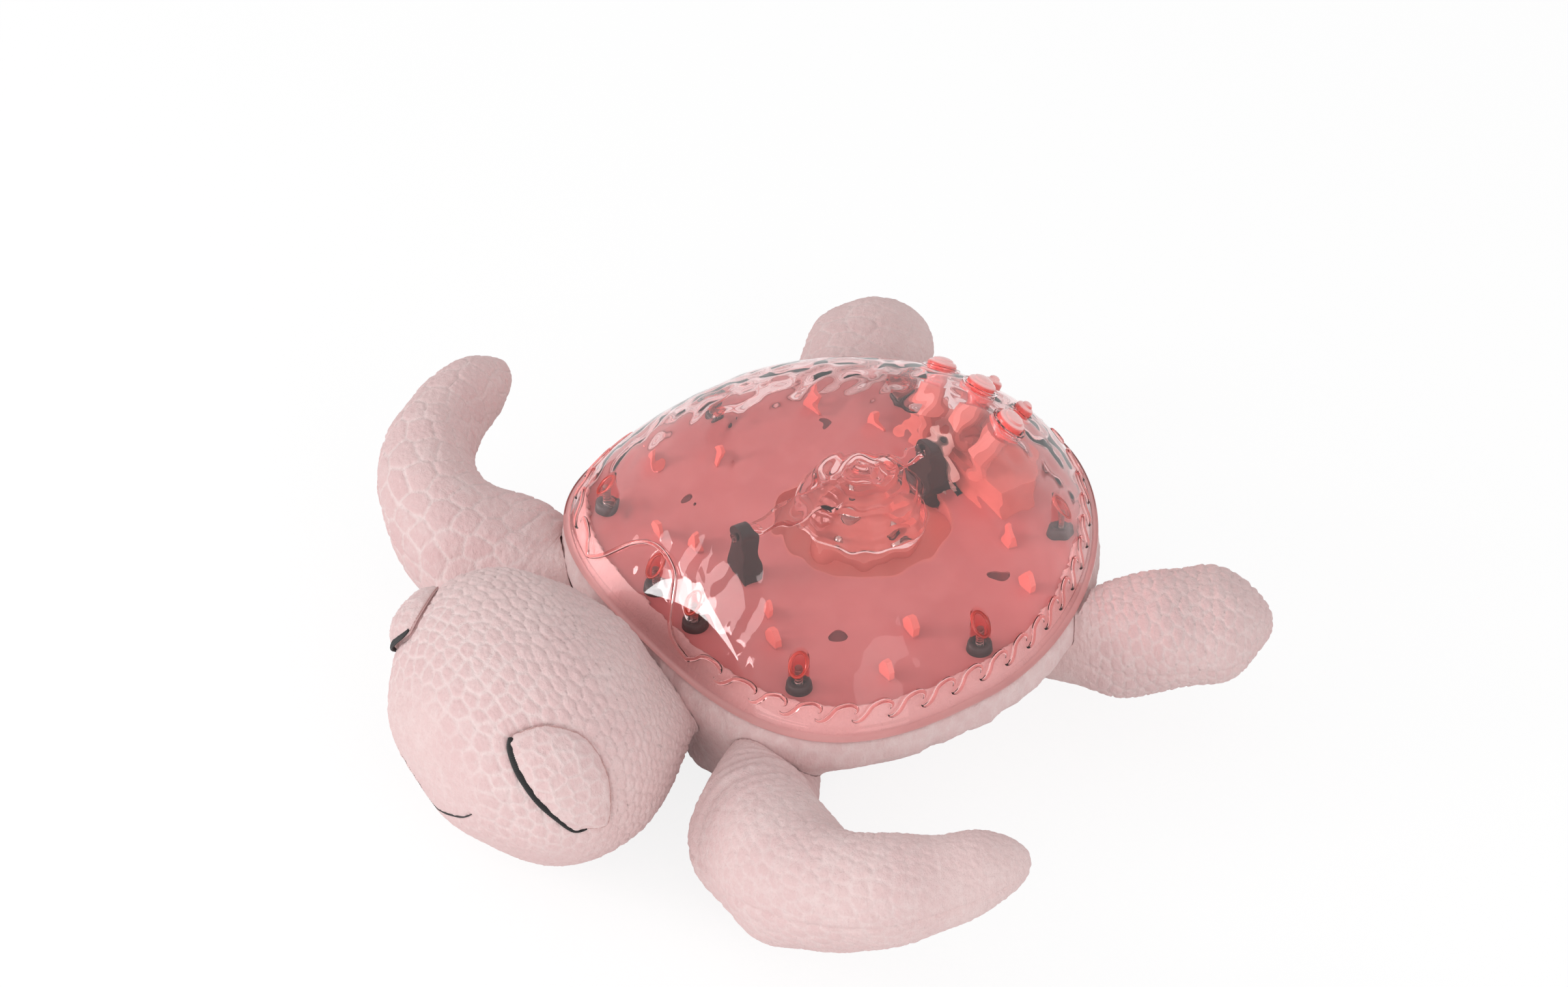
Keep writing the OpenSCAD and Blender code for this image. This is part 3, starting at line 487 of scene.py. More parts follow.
class Finish:
    """A material or world in the making."""

    def __init__(self, name, owner=None):
        self.material = owner or bpy.data.materials.new(name)
        self.material.use_nodes = True
        self.tree = self.material.node_tree
        self.tree.nodes.clear()

    def node(self, kind, settings=None, sockets=None, output=0):
        """Adds a node: its settings first, then the values or links of its sockets."""
        node = self.tree.nodes.new("ShaderNode" + kind)
        for key, value in (settings or {}).items():
            setattr(node, key, value)
        for key, value in (sockets or {}).items():
            if isinstance(value, Value):
                self.tree.links.new(value.socket, node.inputs[key])
            else:
                node.inputs[key].default_value = value
        return Value(self, node.outputs[output]) if node.outputs else None

    def place(self):
        return self.node("TexCoord", output="Object")

    def layer(self, name):
        return self.node("Attribute", {"attribute_name": name}, output="Fac")

    def mix(self, factor, a, b):
        """Colour between two colours."""
        return self.node("Mix", {"data_type": "RGBA"}, {0: factor, 6: a, 7: b}, output=2)

    def stretch(self, vector, scale):
        return self.node("Mapping", None, {"Vector": vector, "Scale": scale})

    def noise(self, vector, size_mm, detail=2.0, rough=0.5):
        """Cloudy noise from 0 to 1 with features of a size in millimetres."""
        return self.node("TexNoise", None, {"Vector": vector, "Scale": 1 / (size_mm * MM), "Detail": detail,
                                            "Roughness": rough})

    def bump(self, height, depth_mm, **under):
        sockets = {"Height": height, "Distance": depth_mm * MM, "Strength": 1.0, **under}
        return self.node("Bump", None, sockets)

    def seen(self):
        """One for rays that reach the eye straight, by a reflection or through clear plastic."""
        path = self.node("LightPath", output="Is Camera Ray")
        return (path + path.output("Is Glossy Ray") + path.output("Is Transmission Ray")).between(0, 1)

    def surface(self, sockets):
        """Principled surface straight to the output."""
        self.finish(Surface=self.node("BsdfPrincipled", None, sockets))
        return self.material

    def finish(self, **shaders):
        self.node("OutputMaterial", None, shaders)


def srgb(red, green, blue):
    """Colour written as display values from 0 to 255."""
    share = np.array([red, green, blue]) / 255
    linear = np.where(share <= 0.04045, share / 12.92, ((share + 0.055) / 1.055) ** 2.4)
    return (*linear.tolist(), 1.0)


def velour(name):
    """Short pale pink pile; grooves between the sewn scales are paler where they are printed. The hem under
    the shell is painted darker pink, a painted tint of the light through the pink shell.
    """
    f = Finish(name)
    place = f.place()
    scale = f.layer("scale")
    printed = f.layer("printed")
    pile = f.noise(place, 0.8, 3, 0.7)
    strands = f.noise(f.stretch(place, (1.6, 1.6, 0.5)), 2.6, 3, 0.65)
    nap = f.noise(place, 8, 3, 0.6)
    cloud = f.noise(place, 48, 2)
    tone = f.mix(cloud.between(0.32, 0.7), srgb(235, 207, 205), srgb(231, 199, 198))
    tone = f.mix((f.layer("tone") * 0.5 + 0.35) * scale * printed, tone, srgb(225, 188, 188))
    tone = f.mix((1 - scale) * printed * 0.7, tone, srgb(245, 228, 226))
    tone = f.mix(nap.between(0.45, 0.75) * 0.35, tone, srgb(240, 221, 219))
    tone = f.mix(strands.between(0.5, 0.8) * 0.35, tone, srgb(245, 229, 227))
    # painted shell tint: the hem under the shell is darkened to the pink that the clear shell's tint gives it
    tone = f.mix(f.layer("hem") * 0.55, tone, srgb(222, 166, 164))
    tone = f.mix((1 - pile.between(0.25, 0.5)) * 0.3, tone, srgb(212, 172, 172))
    woven = f.bump(strands, 0.5, Normal=f.bump(nap, 0.5))
    return f.surface({"Base Color": tone, "Roughness": 0.95, "Normal": f.bump(pile, 0.3, Normal=woven),
                      "Sheen Weight": 0.3, "Sheen Roughness": 0.5, "Sheen Tint": srgb(255, 240, 238),
                      "Specular IOR Level": 0.1})


def clear_plastic(name, tint, passing, depth_colour, density, ripple_mm=0.0, bend=1.46):
    """Clear tinted plastic that lets the lamps through, deeper where it is seen on edge."""
    f = Finish(name)
    sockets = {"Base Color": tint, "Roughness": 0.015, "IOR": bend, "Transmission Weight": 1.0}
    if ripple_mm:
        sockets["Normal"] = f.bump(f.noise(f.place(), 7, 1, 0.4), ripple_mm)
    glass = f.node("BsdfPrincipled", None, sockets)
    window = f.node("BsdfTransparent", None, {"Color": passing})
    shadow = f.node("LightPath", output="Is Shadow Ray")
    depth = f.node("VolumeAbsorption", None, {"Color": depth_colour, "Density": density})
    f.finish(Surface=f.node("MixShader", None, {0: shadow, 1: glass, 2: window}), Volume=depth)
    return f.material


def moulded(name, colour, shade, roughness, grain_mm=0.02, coat=0.0, tips=None, dish=None):
    """Moulded plastic with a faint flow of tone and a fine grain; only the plate has tips and a dish."""
    f = Finish(name)
    place = f.place()
    flow = f.noise(place, 18, 3, 0.55)
    grain = f.noise(place, 0.7, 2, 0.6)
    tone = f.mix(flow.between(0.3, 0.75), colour, shade)
    if tips:
        height = f.node("SeparateXYZ", None, {"Vector": place}).output("Z")
        off_middle = f.node("VectorMath", {"operation": "DISTANCE"},
                            {0: place, 1: (0, DOME_MID_Y * MM, PLATE_TOP * MM)}, output="Value")
        tone = f.mix(off_middle.between((DISH_R + 2) * MM, (DISH_R - 1) * MM), tone, dish)
        tone = f.mix(height.between((PLATE_TOP + 0.2) * MM, (PLATE_TOP + 1.2) * MM), tone, tips)
    return f.surface({"Base Color": tone, "Roughness": grain * 0.1 + (roughness - 0.05), "Coat Weight": coat,
                      "Normal": f.bump(grain, grain_mm)})


def button_painted_light(name, top, side):
    """Moulded button with a painted pale top and painted deeper sides: the tone follows how far the surface
    faces along the dome's normal, painted light and shade.
    """
    f = Finish(name)
    grain = f.noise(f.place(), 0.9, 2, 0.6)
    # painted light and shade: surfaces facing along the dome's normal get the pale lit top colour, the others
    # the deeper shaded side colour
    axis = dome_frame(BIG_SPOTS[1])[1][:, 2]
    normal = f.node("NewGeometry", output="Normal")
    level = f.node("VectorMath", {"operation": "DOT_PRODUCT"}, {0: normal, 1: axis}, output="Value")
    tone = f.mix(level.between(0.15, 0.6), side, top)
    tone = f.mix(grain.between(0.4, 0.8) * 0.2, tone, side)
    return f.surface({"Base Color": tone, "Roughness": grain * 0.1 + 0.22, "Coat Weight": 0.4,
                      "Normal": f.bump(grain, 0.006)})


def metal(name, colour, roughness, brush=(1, 1, 1)):
    """Plated metal with faint drawn streaks."""
    f = Finish(name)
    streak = f.noise(f.stretch(f.place(), brush), 1.2, 3, 0.7)
    return f.surface({"Base Color": f.mix(streak * 0.5, colour, srgb(70, 68, 70)), "Metallic": 1.0,
                      "Roughness": streak * 0.15 + roughness, "Normal": f.bump(streak, 0.02)})


def thread(name, colour, light):
    """Embroidery thread with fine plies."""
    f = Finish(name)
    ply = f.noise(f.place(), 0.35, 2, 0.6)
    return f.surface({"Base Color": f.mix(ply.between(0.35, 0.8), colour, light),
                      "Roughness": ply * 0.2 + 0.55, "Normal": f.bump(ply, 0.12), "Sheen Weight": 0.1})


def circuit_board(name):
    """Green solder mask with tracks and pale pads."""
    f = Finish(name)
    place = f.place()
    track = f.node("TexVoronoi", {"feature": "DISTANCE_TO_EDGE"}, {"Vector": place, "Scale": 1 / (4 * MM)})
    pads = f.noise(place, 3, 0)
    tone = f.mix(1 - track.between(0.02, 0.06), srgb(34, 92, 52), srgb(52, 128, 74))
    tone = f.mix(pads.between(0.68, 0.72), tone, srgb(196, 190, 170))
    return f.surface({"Base Color": tone, "Roughness": 0.4, "Normal": f.bump(track, 0.05)})


# Stuffed body, head, limbs

def off_roots(points):
    """Zero where the limbs are sewn to the body's side, rising to one away from them."""
    angle = np.degrees(np.arctan2(points[:, 1] - SHELL_MID_Y, np.abs(points[:, 0])))
    near = []
    for root in (FRONT_ROOT, REAR_ROOT):
        off = ((angle - root[0]) / ROOT_SPAN) ** 2 + ((points[:, 2] - root[2]) / ROOT_RISE) ** 2
        near.append(np.exp(-off ** 2))
    return 1 - np.maximum(*near)


def body_piece(fabric):
    """Stuffed ring with its hem under the shell, gathered along the rim seam."""
    columns = 480
    angles = np.arange(columns) * 360 / columns
    top = RIM_Z - LIP_T - SOFT_GAP
    hem_z = PLATE_TOP + 1.2
    under_plate = PLATE_TOP - PLATE_T - SOFT_GAP
    share = dome_share(hem_z, -SHELL_WALL - SOFT_GAP)
    levels = lerp(top, BODY_BOTTOM, np.sin(np.linspace(0, np.pi / 2, 56)))
    sides = np.array([rim_ring(angles, z, body_grow(z, angles)) for z in levels])
    hem = dome_point(angles, share, -SHELL_WALL - SOFT_GAP)
    tucked = rim_ring(angles, top, -(SHELL_WALL + SOFT_GAP))
    foot = -(FOOT_INSET - SOFT_GAP)
    tub = -(HOUSING_INSET - SOFT_GAP)
    edge = -(PLATE_INSET - SOFT_GAP)
    inner = [rim_ring(angles, z, grow) for z, grow in
             ((BODY_BOTTOM + 1, foot), (BOWL_Z - SOFT_GAP, foot), (BOWL_Z - SOFT_GAP, tub),
              (under_plate, tub), (under_plate, edge), (PLATE_TOP + SOFT_GAP, edge))]
    fringe = np.clip(0.45 * ripples(hem, 3.5, 51) + 0.5 * ripples(hem, 13, 52), -0.9, 0.9)
    inner += [rim_ring(angles, PLATE_TOP + SOFT_GAP + 0.1, edge - 1.1 + fringe),
              rim_ring(angles, hem_z + 0.2, edge - 0.5 + 0.6 * fringe), hem, lerp(hem, tucked, 0.5), tucked]
    piece = loft("stuffed_body", np.concatenate([sides, inner]), fabric, loop=True)
    points = sides.reshape(-1, 3)
    below_seam = top - points[:, 2]
    around = np.degrees(np.arctan2(points[:, 1] - SHELL_MID_Y, points[:, 0]))
    wander = 90 * np.sin(np.radians(around * 7))
    gathers = 0.5 * np.sin(np.radians(around * 53 + wander)) * np.exp(-below_seam / 9) * ease(below_seam / 2)
    draws = 0.9 * np.maximum(0, ripples(points * [1, 1, 0.22], 13, 4)) * ease(below_seam / 8)
    lumps = 0.8 * ripples(points, 46, 3) * ease(below_seam / 14)
    gap, tone = scales(sides, lambda u: 9, lambda u: 8, 41)
    loose = off_roots(points)
    quilt(piece, gap, tone, 0.35 * loose * ease(below_seam / 10), 0.35, gathers + loose * (lumps - draws))
    # the hem layer marks where the velour gets its painted shell tint
    mark(piece, "hem", np.arange(len(piece.data.vertices)) >= len(points))
    plush("plush_body")


def neck_ring(share, columns):
    """Ring of the neck's patch on the body, at a share of its size."""
    a = circle(columns)
    wide = share * NECK_W * np.cos(a)
    high = NECK_Z + share * NECK_H * np.sin(a)
    return on_body(np.stack([wide, np.full(columns, NECK_Y), high], -1))


def head_rings(columns):
    """Rings of the egg-shaped head from its nose, drawn in to the neck behind."""
    a = circle(columns)
    neck = neck_ring(1, columns)
    rings = []
    for turn in np.radians(HEAD_TURNS):
        wide = np.cos(a) * math.sin(turn)
        high = np.sin(a) * math.sin(turn)
        around = np.stack([wide, np.full(columns, -math.cos(turn)), high], -1)
        drawn = ease((math.degrees(turn) - NECK_FROM) / (NECK_TO - NECK_FROM))
        rings.append(lerp(HEAD_AT + HEAD_HALF * around, neck, drawn))
    return np.array(rings)


def head_skin(direction, lift):
    """Point on the head in a scaled direction, lifted off it."""
    u = unit(np.asarray(direction, float))
    return HEAD_AT + u * HEAD_HALF + np.asarray(lift, float)[..., None] * unit(u / HEAD_HALF)


def lid_edge(count):
    """Closed line round an eyelid, as head directions."""
    return unit(through(LASH + LID_SEAM, count, loop=True))


def mouth_ways(count):
    """Directions on the head along the smile."""
    line = through(MOUTH, count)
    x = line[:, 0] / HEAD_HALF[0]
    z = (line[:, 1] - HEAD_AT[2]) / HEAD_HALF[2]
    return np.stack([x, -np.sqrt(1 - x ** 2 - z ** 2), z], -1)


def head_lump(points):
    """Soft unevenness of the stuffing in the head."""
    return HEAD_LUMP * ripples(points, 42, 5)


def brow_pitch(u):
    """Length of a scale along the head: large on the brow, narrow rows behind."""
    return np.interp(u, (20, 45, 75, 100), (8.0, 6.0, 4.2, 3.3))


def head_piece(fabric):
    """Stuffed head: fine scale rows behind, larger printed ones on the brow, a plain muzzle."""
    columns = 480
    rings = head_rings(columns)
    patch = [neck_ring(share, columns) for share in (0.7, 0.35)]
    nose = HEAD_AT - [0, HEAD_HALF[1], 0]
    nape = on_body(np.array([0, NECK_Y, NECK_Z]))
    piece = loft("stuffed_head", np.concatenate([rings, patch]), fabric, (nose, nape))
    points = rings.reshape(-1, 3)
    edge, tone = scales(rings, brow_pitch, lambda u: np.interp(u, (20, 50, 80), (8.6, 6.4, 7.4)), 7)
    up = (points[:, 2] - HEAD_AT[2]) / HEAD_HALF[2]
    back = (points[:, 1] - HEAD_AT[1]) / HEAD_HALF[1]
    plain = np.maximum(ease((0.05 - up) / 0.5) * ease((0.15 - back) / 0.4), ease((-0.74 - back) / 0.2))
    brow = ease((-0.1 - back) / 0.35)
    off_neck = np.repeat(1 - ease((HEAD_TURNS - 130) / 15), columns)
    rim = head_skin(lid_edge(240), 0)
    off_lid = gap_to(points, np.vstack([rim, rim * [-1, 1, 1]]))
    off_mouth = gap_to(points, head_skin(mouth_ways(400), 0))
    crease = -LID_CREASE * np.exp(-(off_lid / LID_CREASE_W) ** 2)
    groove = -MOUTH_DEPTH * np.exp(-(off_mouth / MOUTH_W) ** 2)
    relief = off_neck * (1 - 0.92 * plain) * lerp(1.15, 0.75, brow)
    printed = (1 - 0.85 * plain) * lerp(0.25, 0.75, brow)
    quilt(piece, edge, tone, relief, printed, off_neck * (crease + groove + head_lump(points)))
    plush("plush_head")


def eyelid_piece(side, node, fabric):
    """Padded eyelid patch between the lash line and its sewn edge."""
    columns = 160
    edge = lid_edge(columns)
    middle = unit(edge.mean(0))
    shares = np.linspace(0.03, 1, 44)
    low = SOFT_GAP - 0.5
    high = SOFT_GAP + 0.3
    lifts = high + LID_BULGE * (1 - shares ** 3) ** 0.8
    over = np.array([head_skin(lerp(middle, edge, s), lift) for s, lift in zip(shares, lifts)])
    under = np.array([head_skin(lerp(middle, edge, s), low) for s in (1.0, 0.5)])
    ends = np.array([head_skin(middle, high + LID_BULGE), head_skin(middle, low)])
    turn = slice(None, None, -1 if side > 0 else 1)
    rings = np.concatenate([over, under])[:, turn] * [side, 1, 1]
    piece = loft("sewn_" + node, rings, fabric, ends * [side, 1, 1])
    ways = (over[:, turn].reshape(-1, 3) - HEAD_AT) / HEAD_HALF
    turns = np.degrees(np.arctan2(np.hypot(ways[:, 0], ways[:, 2]), -ways[:, 1]))
    rings = head_rings(columns)
    spots = np.interp(turns, HEAD_TURNS, course(rings)[0]), np.arctan2(ways[:, 2], ways[:, 0]) % (2 * np.pi)
    gap, tone = scales(rings, lambda u: 5.6, lambda u: 5.4, 13, spots)
    fade = np.repeat(ease((1 - shares) / 0.12), columns)
    quilt(piece, gap, tone, 0.55 * fade, 0.5 * fade, 0)
    plush(node)


def ribbon(name, ways, lift, widths, heights, material, twill, side=1):
    """Raised sewn line along directions on the head: threads lie across it, and twill slants them."""
    path = head_skin(ways, lift) * [side, 1, 1]
    ups = unit(ways / HEAD_HALF) * [side, 1, 1]
    across = unit(np.cross(unit(np.gradient(path, axis=0)), ups))
    a = circle(14)
    rings = []
    for i, (p, u, c, w, h) in enumerate(zip(path, ups, across, widths, heights)):
        ply = 0.8 + 0.2 * np.cos(i * np.pi / 2 + twill * np.cos(a))
        wide = w / 2 * np.cos(a) * (0.94 + 0.06 * ply)
        high = h * np.sin(a) * ply
        rings.append(p + wide[:, None] * c + high[:, None] * u)
    piece = loft(name, rings, material, (path[0], path[-1]))


def lash_piece(side, name, material):
    """Satin-stitched lash: a crescent of slanted threads, thick in its middle."""
    t = np.linspace(0, 1, 280)
    widths = 1.4 * np.sqrt(np.clip(t / 0.02, 0, 1)) * (1 - t) + 0.4 + 2.5 * np.sin(np.pi * t ** 0.9) ** 0.9
    heights = 0.4 + 0.5 * np.sin(np.pi * t) ** 0.6
    ribbon(name, unit(through(LASH, len(t))), SOFT_GAP + 0.9, widths, heights, material, 2.5, side)


def lid_stitch_piece(side, name, material):
    """Fine stitches along the eyelid's sewn edge."""
    count = 260
    ways = unit(through((LASH[-1],) + LID_SEAM + (LASH[0],), count))
    ribbon(name, ways, SOFT_GAP + 0.25, np.full(count, 0.55), np.full(count, 0.3), material, 1.0, side)


def mouth_piece(material):
    """Thin stitched smile across the muzzle."""
    count = 240
    ways = mouth_ways(count)
    lift = 0.15 - MOUTH_DEPTH + head_lump(HEAD_AT + ways * HEAD_HALF)
    widths = 0.3 + 0.7 * np.sin(np.linspace(0, np.pi, count)) ** 0.4
    ribbon("stitched_mouth", ways, lift, widths, widths * 0.5, material, 1.5)


def under_lip(rings):
    """Keeps rings of a limb below the shell's lip where they pass it."""
    angle = np.degrees(np.arctan2(rings[..., 1] - SHELL_MID_Y, rings[..., 0]))
    out = np.hypot(rings[..., 0], rings[..., 1] - SHELL_MID_Y) - np.linalg.norm(
        rim_point(angle) - [0, SHELL_MID_Y], axis=-1)
    top = RIM_Z - LIP_T - SOFT_GAP + 3 * np.maximum(0, out - LIP_W - SOFT_GAP)
    rings[..., 2] = np.minimum(rings[..., 2], top)
    return rings


def ease_root(rings, first, last):
    """Smooths rings along a limb where its sewn root runs into it."""
    within = rings[first:last]
    for _ in range(ROOT_PASSES):
        within += 0.25 * (rings[first - 1:last - 1] + rings[first + 1:last + 1] - 2 * within)
    return rings


def flipper_piece(side, node, shape, shoulder, sewing, fabric):
    """Stuffed flipper along its curve, with an edge seam, a fuller shoulder and creases at its sewn root."""
    behind, above, ahead = shoulder
    row_pitch, column_pitch, groove, relief, printed, hushed, folded = sewing
    root, steps, widths, thicks, swelling, cap_from, rows, columns = shape
    foot = np.append(rim_point(root[0], root[1]), root[2])
    control = np.vstack([foot, foot + np.array(steps)])
    a = circle(columns)
    shares = np.sin(np.pi / 2 * np.linspace(0, 0.985, rows) ** 1.15)
    spine = curve(control, shares)
    along = unit(curve(control, shares + 0.002) - curve(control, shares - 0.002))
    across = unit(np.cross(along, [0, 0, 1]))
    up = np.cross(across, along)
    round_off = np.sqrt(np.maximum(0, 1 - np.maximum(0, (shares - cap_from) / (1 - cap_from)) ** 2.2))
    trim = round_off * lerp(0.9, 1, ease(shares / 0.2))
    half_w = (lerp(widths[0], widths[1], shares) + swelling * np.sin(np.pi * shares)) * trim
    half_t = lerp(thicks[0], thicks[1], shares) * trim
    near_root = 1 - ease(shares / 0.35)[:, None]
    wide = np.cos(a) * (half_w[:, None] + np.where(np.cos(a) < 0, behind, ahead) * near_root)
    high = np.sin(a) * (half_t[:, None] + np.where(np.sin(a) > 0, above, 0) * near_root)
    limb = spine[:, None] + wide[:, :, None] * across[:, None] + high[:, :, None] * up[:, None]
    sewn = [on_body(lerp(foot, limb[0], s)) for s in (0.32, 0.64, 0.95)]
    bridge = [lerp(sewn[-1], limb[0], s) for s in np.linspace(0.04, 0.97, 32)]
    rings = np.concatenate([sewn, bridge, limb])
    rings = under_lip(ease_root(rings, len(sewn), len(sewn + bridge) + ROOT_RINGS))
    ends = np.array([on_body(foot), control[3]])
    if side < 0:
        rings = rings[:, ::-1] * [-1, 1, 1]
        ends = ends * [-1, 1, 1]
    piece = loft("stuffed_" + node, rings, fabric, ends)
    angle = np.tile(a if side > 0 else a[::-1], len(rings))
    lead = np.concatenate([np.full(len(sewn), -0.12), np.linspace(-0.11, -0.01, len(bridge)), shares])
    run = np.repeat(lead, columns)
    free = ease((run + 0.11) / 0.1)
    begun = ease((run + 0.08) / 0.16)
    quiet = 1 - hushed * ease((run - 0.6) / 0.2)
    outer = 0.45 + 0.55 * ease((np.cos(angle) + 0.2) / 0.8)
    off_edge = np.minimum(angle, 2 * np.pi - angle)
    seam = -0.8 * np.exp(-(off_edge / 0.04) ** 2) * ease((0.98 - run) / 0.1)
    folds = 0.5 * np.sin(run * 170 + 2.2 * np.sin(angle * 2 + 0.5))
    folds += 0.6 * np.sin(run * 74 + np.sin(angle * 3))
    folds *= folded * np.exp(-((run - 0.01) / 0.09) ** 2) * (0.5 + 0.5 * np.sin(angle))
    lumps = 0.6 * ripples(rings.reshape(-1, 3), 34, 11)
    edge, tone = scales(rings, lambda u: row_pitch, lambda u: column_pitch, 17 + side)
    quilt(piece, edge, tone, relief * free * quiet * begun, printed * quiet * outer * begun,
          free * (seam + folds + lumps), groove)
    plush(node)


# Clear shell

def border_lines():
    """Rim angles and dome shares along each stroke of the scroll border; the first two run into the arch."""
    flank = [[(start + u * (end - start), WAVE_LOW - WAVE_REACH * v) for u, v in WAVE]
             for start, end in zip(TROUGHS, TROUGHS[1:])]
    other = [[(FLANK_SUM - angle, share) for angle, share in stroke] for stroke in flank]
    arch = other[0][:1:-1] + list(ARCH) + flank[0][2:]
    return [through(line, 9 * len(line)).T for line in (arch, *flank[1:], *other[1:])]


def rib_piece(material):
    """Scroll border and front arch: clear half-round beads on the shell."""
    step = 0.01
    a = np.linspace(0, np.pi, 13)
    beads = []
    for angles, shares in border_lines():
        sideways = dome_point(angles + step, shares) - dome_point(angles - step, shares)
        slant = dome_point(angles, shares - step) - dome_point(angles, shares + step)
        ups = unit(np.cross(sideways, slant))
        path = dome_point(angles, shares) + RIB_GAP * ups
        across = unit(np.cross(unit(np.gradient(path, axis=0)), ups))
        places = np.arange(len(path))
        taper = np.clip(np.minimum(places / 30, places[::-1] / 22), 0, 1)[:, None, None] ** 0.75
        rings = path[:, None] + taper * (RIB_W / 2 * np.cos(a)[:, None] * across[:, None]
                                         + RIB_RISE * np.sin(a)[:, None] * ups[:, None])
        beads.append((rings[1:-1], path[[0, -1]], False))
    add_trim("scroll_beads", beads, material)


def dome_piece(material, lip_edge_painted_tint, lip_seat):
    """Clear shell: smooth outside, hammered inside, a rounded lip and button holes."""
    columns = 1200
    angles = np.arange(columns) * 360 / columns
    crown_shares = np.sin(np.linspace(0.03, math.asin(CROWN_TO), 56))
    edge_shares = 1 - (1 - CROWN_TO) * np.linspace(1, 0, 18)[1:] ** 1.6
    outer = [dome_point(angles, s) for s in np.concatenate([crown_shares, edge_shares])]
    half = LIP_T / 2
    lip = [rim_ring(angles, RIM_Z - half + half * math.cos(t), LIP_W - LIP_ROUND + LIP_ROUND * math.sin(t))
           for t in np.linspace(0, np.pi, 7)]
    inner_from = len(outer + lip)
    inner_shares = np.sin(np.linspace(math.asin(0.995), 0.03, 64))
    inner = [rim_ring(angles, RIM_Z - LIP_T, -SHELL_WALL)]
    inner += [dome_point(angles, s, -SHELL_WALL) for s in inner_shares]
    ends = (dome_point(0, 0.0), dome_point(0, 0.0, -SHELL_WALL))
    piece = loft("clear_shell", outer + lip + inner, material, ends)
    points = read_points(piece)
    lift = np.zeros(len(points))
    crown = slice(0, len(crown_shares) * columns)
    plan = np.repeat(crown_shares, columns)
    fade = ease((CROWN_TO - plan) / 0.1) * ease(plan / 0.2)
    lift[crown] = SKIN_SWELL * ripples(points[crown], 11, 21) * fade
    hammered = slice((inner_from + 5) * columns, (inner_from + len(inner)) * columns)
    plan = np.repeat(inner_shares[4:], columns)
    deep = 0.45 + 0.55 * ease((points[hammered, 1] - 0.9 * points[hammered, 0] - 20) / 60)
    fade = ease((0.98 - plan) / 0.1) * ease(plan / 0.2)
    lift[hammered] = HAMMER_SWELL * deep * ripples(points[hammered], 10, 22) * fade
    swell(piece, lift)
    looks = np.zeros(len(piece.data.polygons), np.int32)
    # painted tint and shade: the lip's lower outer round is opaque dark red, standing in for the deep tint of
    # the clear edge seen end-on and the shade under the lip
    looks[(inner_from - 3) * columns:inner_from * columns] = 1
    looks[(inner_from - 1) * columns:inner_from * columns] = 2
    piece.data.materials.append(lip_edge_painted_tint)
    piece.data.materials.append(lip_seat)
    piece.data.polygons.foreach_set("material_index", looks)
    cut_holes(piece)
    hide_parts("shell_dome")


def turned(profile, columns):
    """Rings round the Z axis from a profile of radius and level, which may be a height per column."""
    a = circle(columns)
    return np.array([np.stack([r * np.cos(a), r * np.sin(a), 0 * a + level], -1) for r, level in profile])


def dome_tube(spot, profile):
    """Turned rings round the dome's normal at a spot, its place and the normal."""
    place, turn = dome_frame(spot)
    return turned(profile, 64) @ turn.T + place, place, turn[:, 2]


def cut_holes(piece):
    """Button holes through the shell."""
    reach = 7
    cutters = []
    for spots, radius in ((BIG_SPOTS, BIG_BUTTON_R), (SMALL_SPOTS, SMALL_BUTTON_R)):
        for spot in spots:
            r = radius + BUTTON_GAP
            rings, place, normal = dome_tube(spot, ((r, reach), (r, -reach)))
            cutters.append((rings, np.array([place + reach * normal, place - reach * normal]), False))
    cutter = gather("hole_cutter", cutters, piece.data.materials[0])
    cut = piece.modifiers.new("holes", "BOOLEAN")
    cut.operation = "DIFFERENCE"
    cut.solver = "EXACT"
    cut.object = cutter
    bpy.context.view_layer.update()
    result = bpy.data.meshes.new_from_object(piece.evaluated_get(bpy.context.evaluated_depsgraph_get()))
    piece.modifiers.clear()
    piece.data = result
    bpy.data.objects.remove(cutter)


# Screw bosses and other trim

BOSS_SIDES = 48
BOSS_PLACES = [rim_point(angle, -BOSS_INSET) * [side, 1] for angle in BOSS_ANGLES for side in (-1, 1)]


def roof_heights(place, r, drop):
    """Heights on a circle about a plan place, at a drop below the dome."""
    x, y = place
    tops = [dome_height(x + r * math.cos(t), y + r * math.sin(t)) for t in circle(BOSS_SIDES)]
    return np.array(tops) - drop


def wound(place, angles, levels, radius, half_w, half_h, columns):
    """Core line at angles about an upright axis, and the oval rings of a tube along it."""
    b = circle(columns)[:, None]
    up = np.array([0, 0, 1])
    out = np.stack([np.cos(angles), np.sin(angles), 0 * angles], -1)
    core = np.append(place, 0) + radius * out + levels[:, None] * up
    return core, core[:, None] + half_w * np.cos(b) * out[:, None] + half_h * np.sin(b) * up


def boss_piece(material):
    """Screw bosses that hang from the shell to the plate."""
    blind = SCREW_TOP + 0.8
    tubes = []
    for place in BOSS_PLACES:
        roof = [(r, roof_heights(place, r, SHELL_WALL)) for r in (0.5 * BOSS_R, BOSS_R)]
        profile = (*roof, (BOSS_R, BOSS_LOW), (BOSS_BORE, BOSS_LOW), (BOSS_BORE, blind))
        ends = [np.append(place, z) for z in (dome_height(*place) - SHELL_WALL, blind)]
        tubes.append((turned(profile, BOSS_SIDES) + np.append(place, 0), ends, False))
    add_trim("shell_bosses", tubes, material)


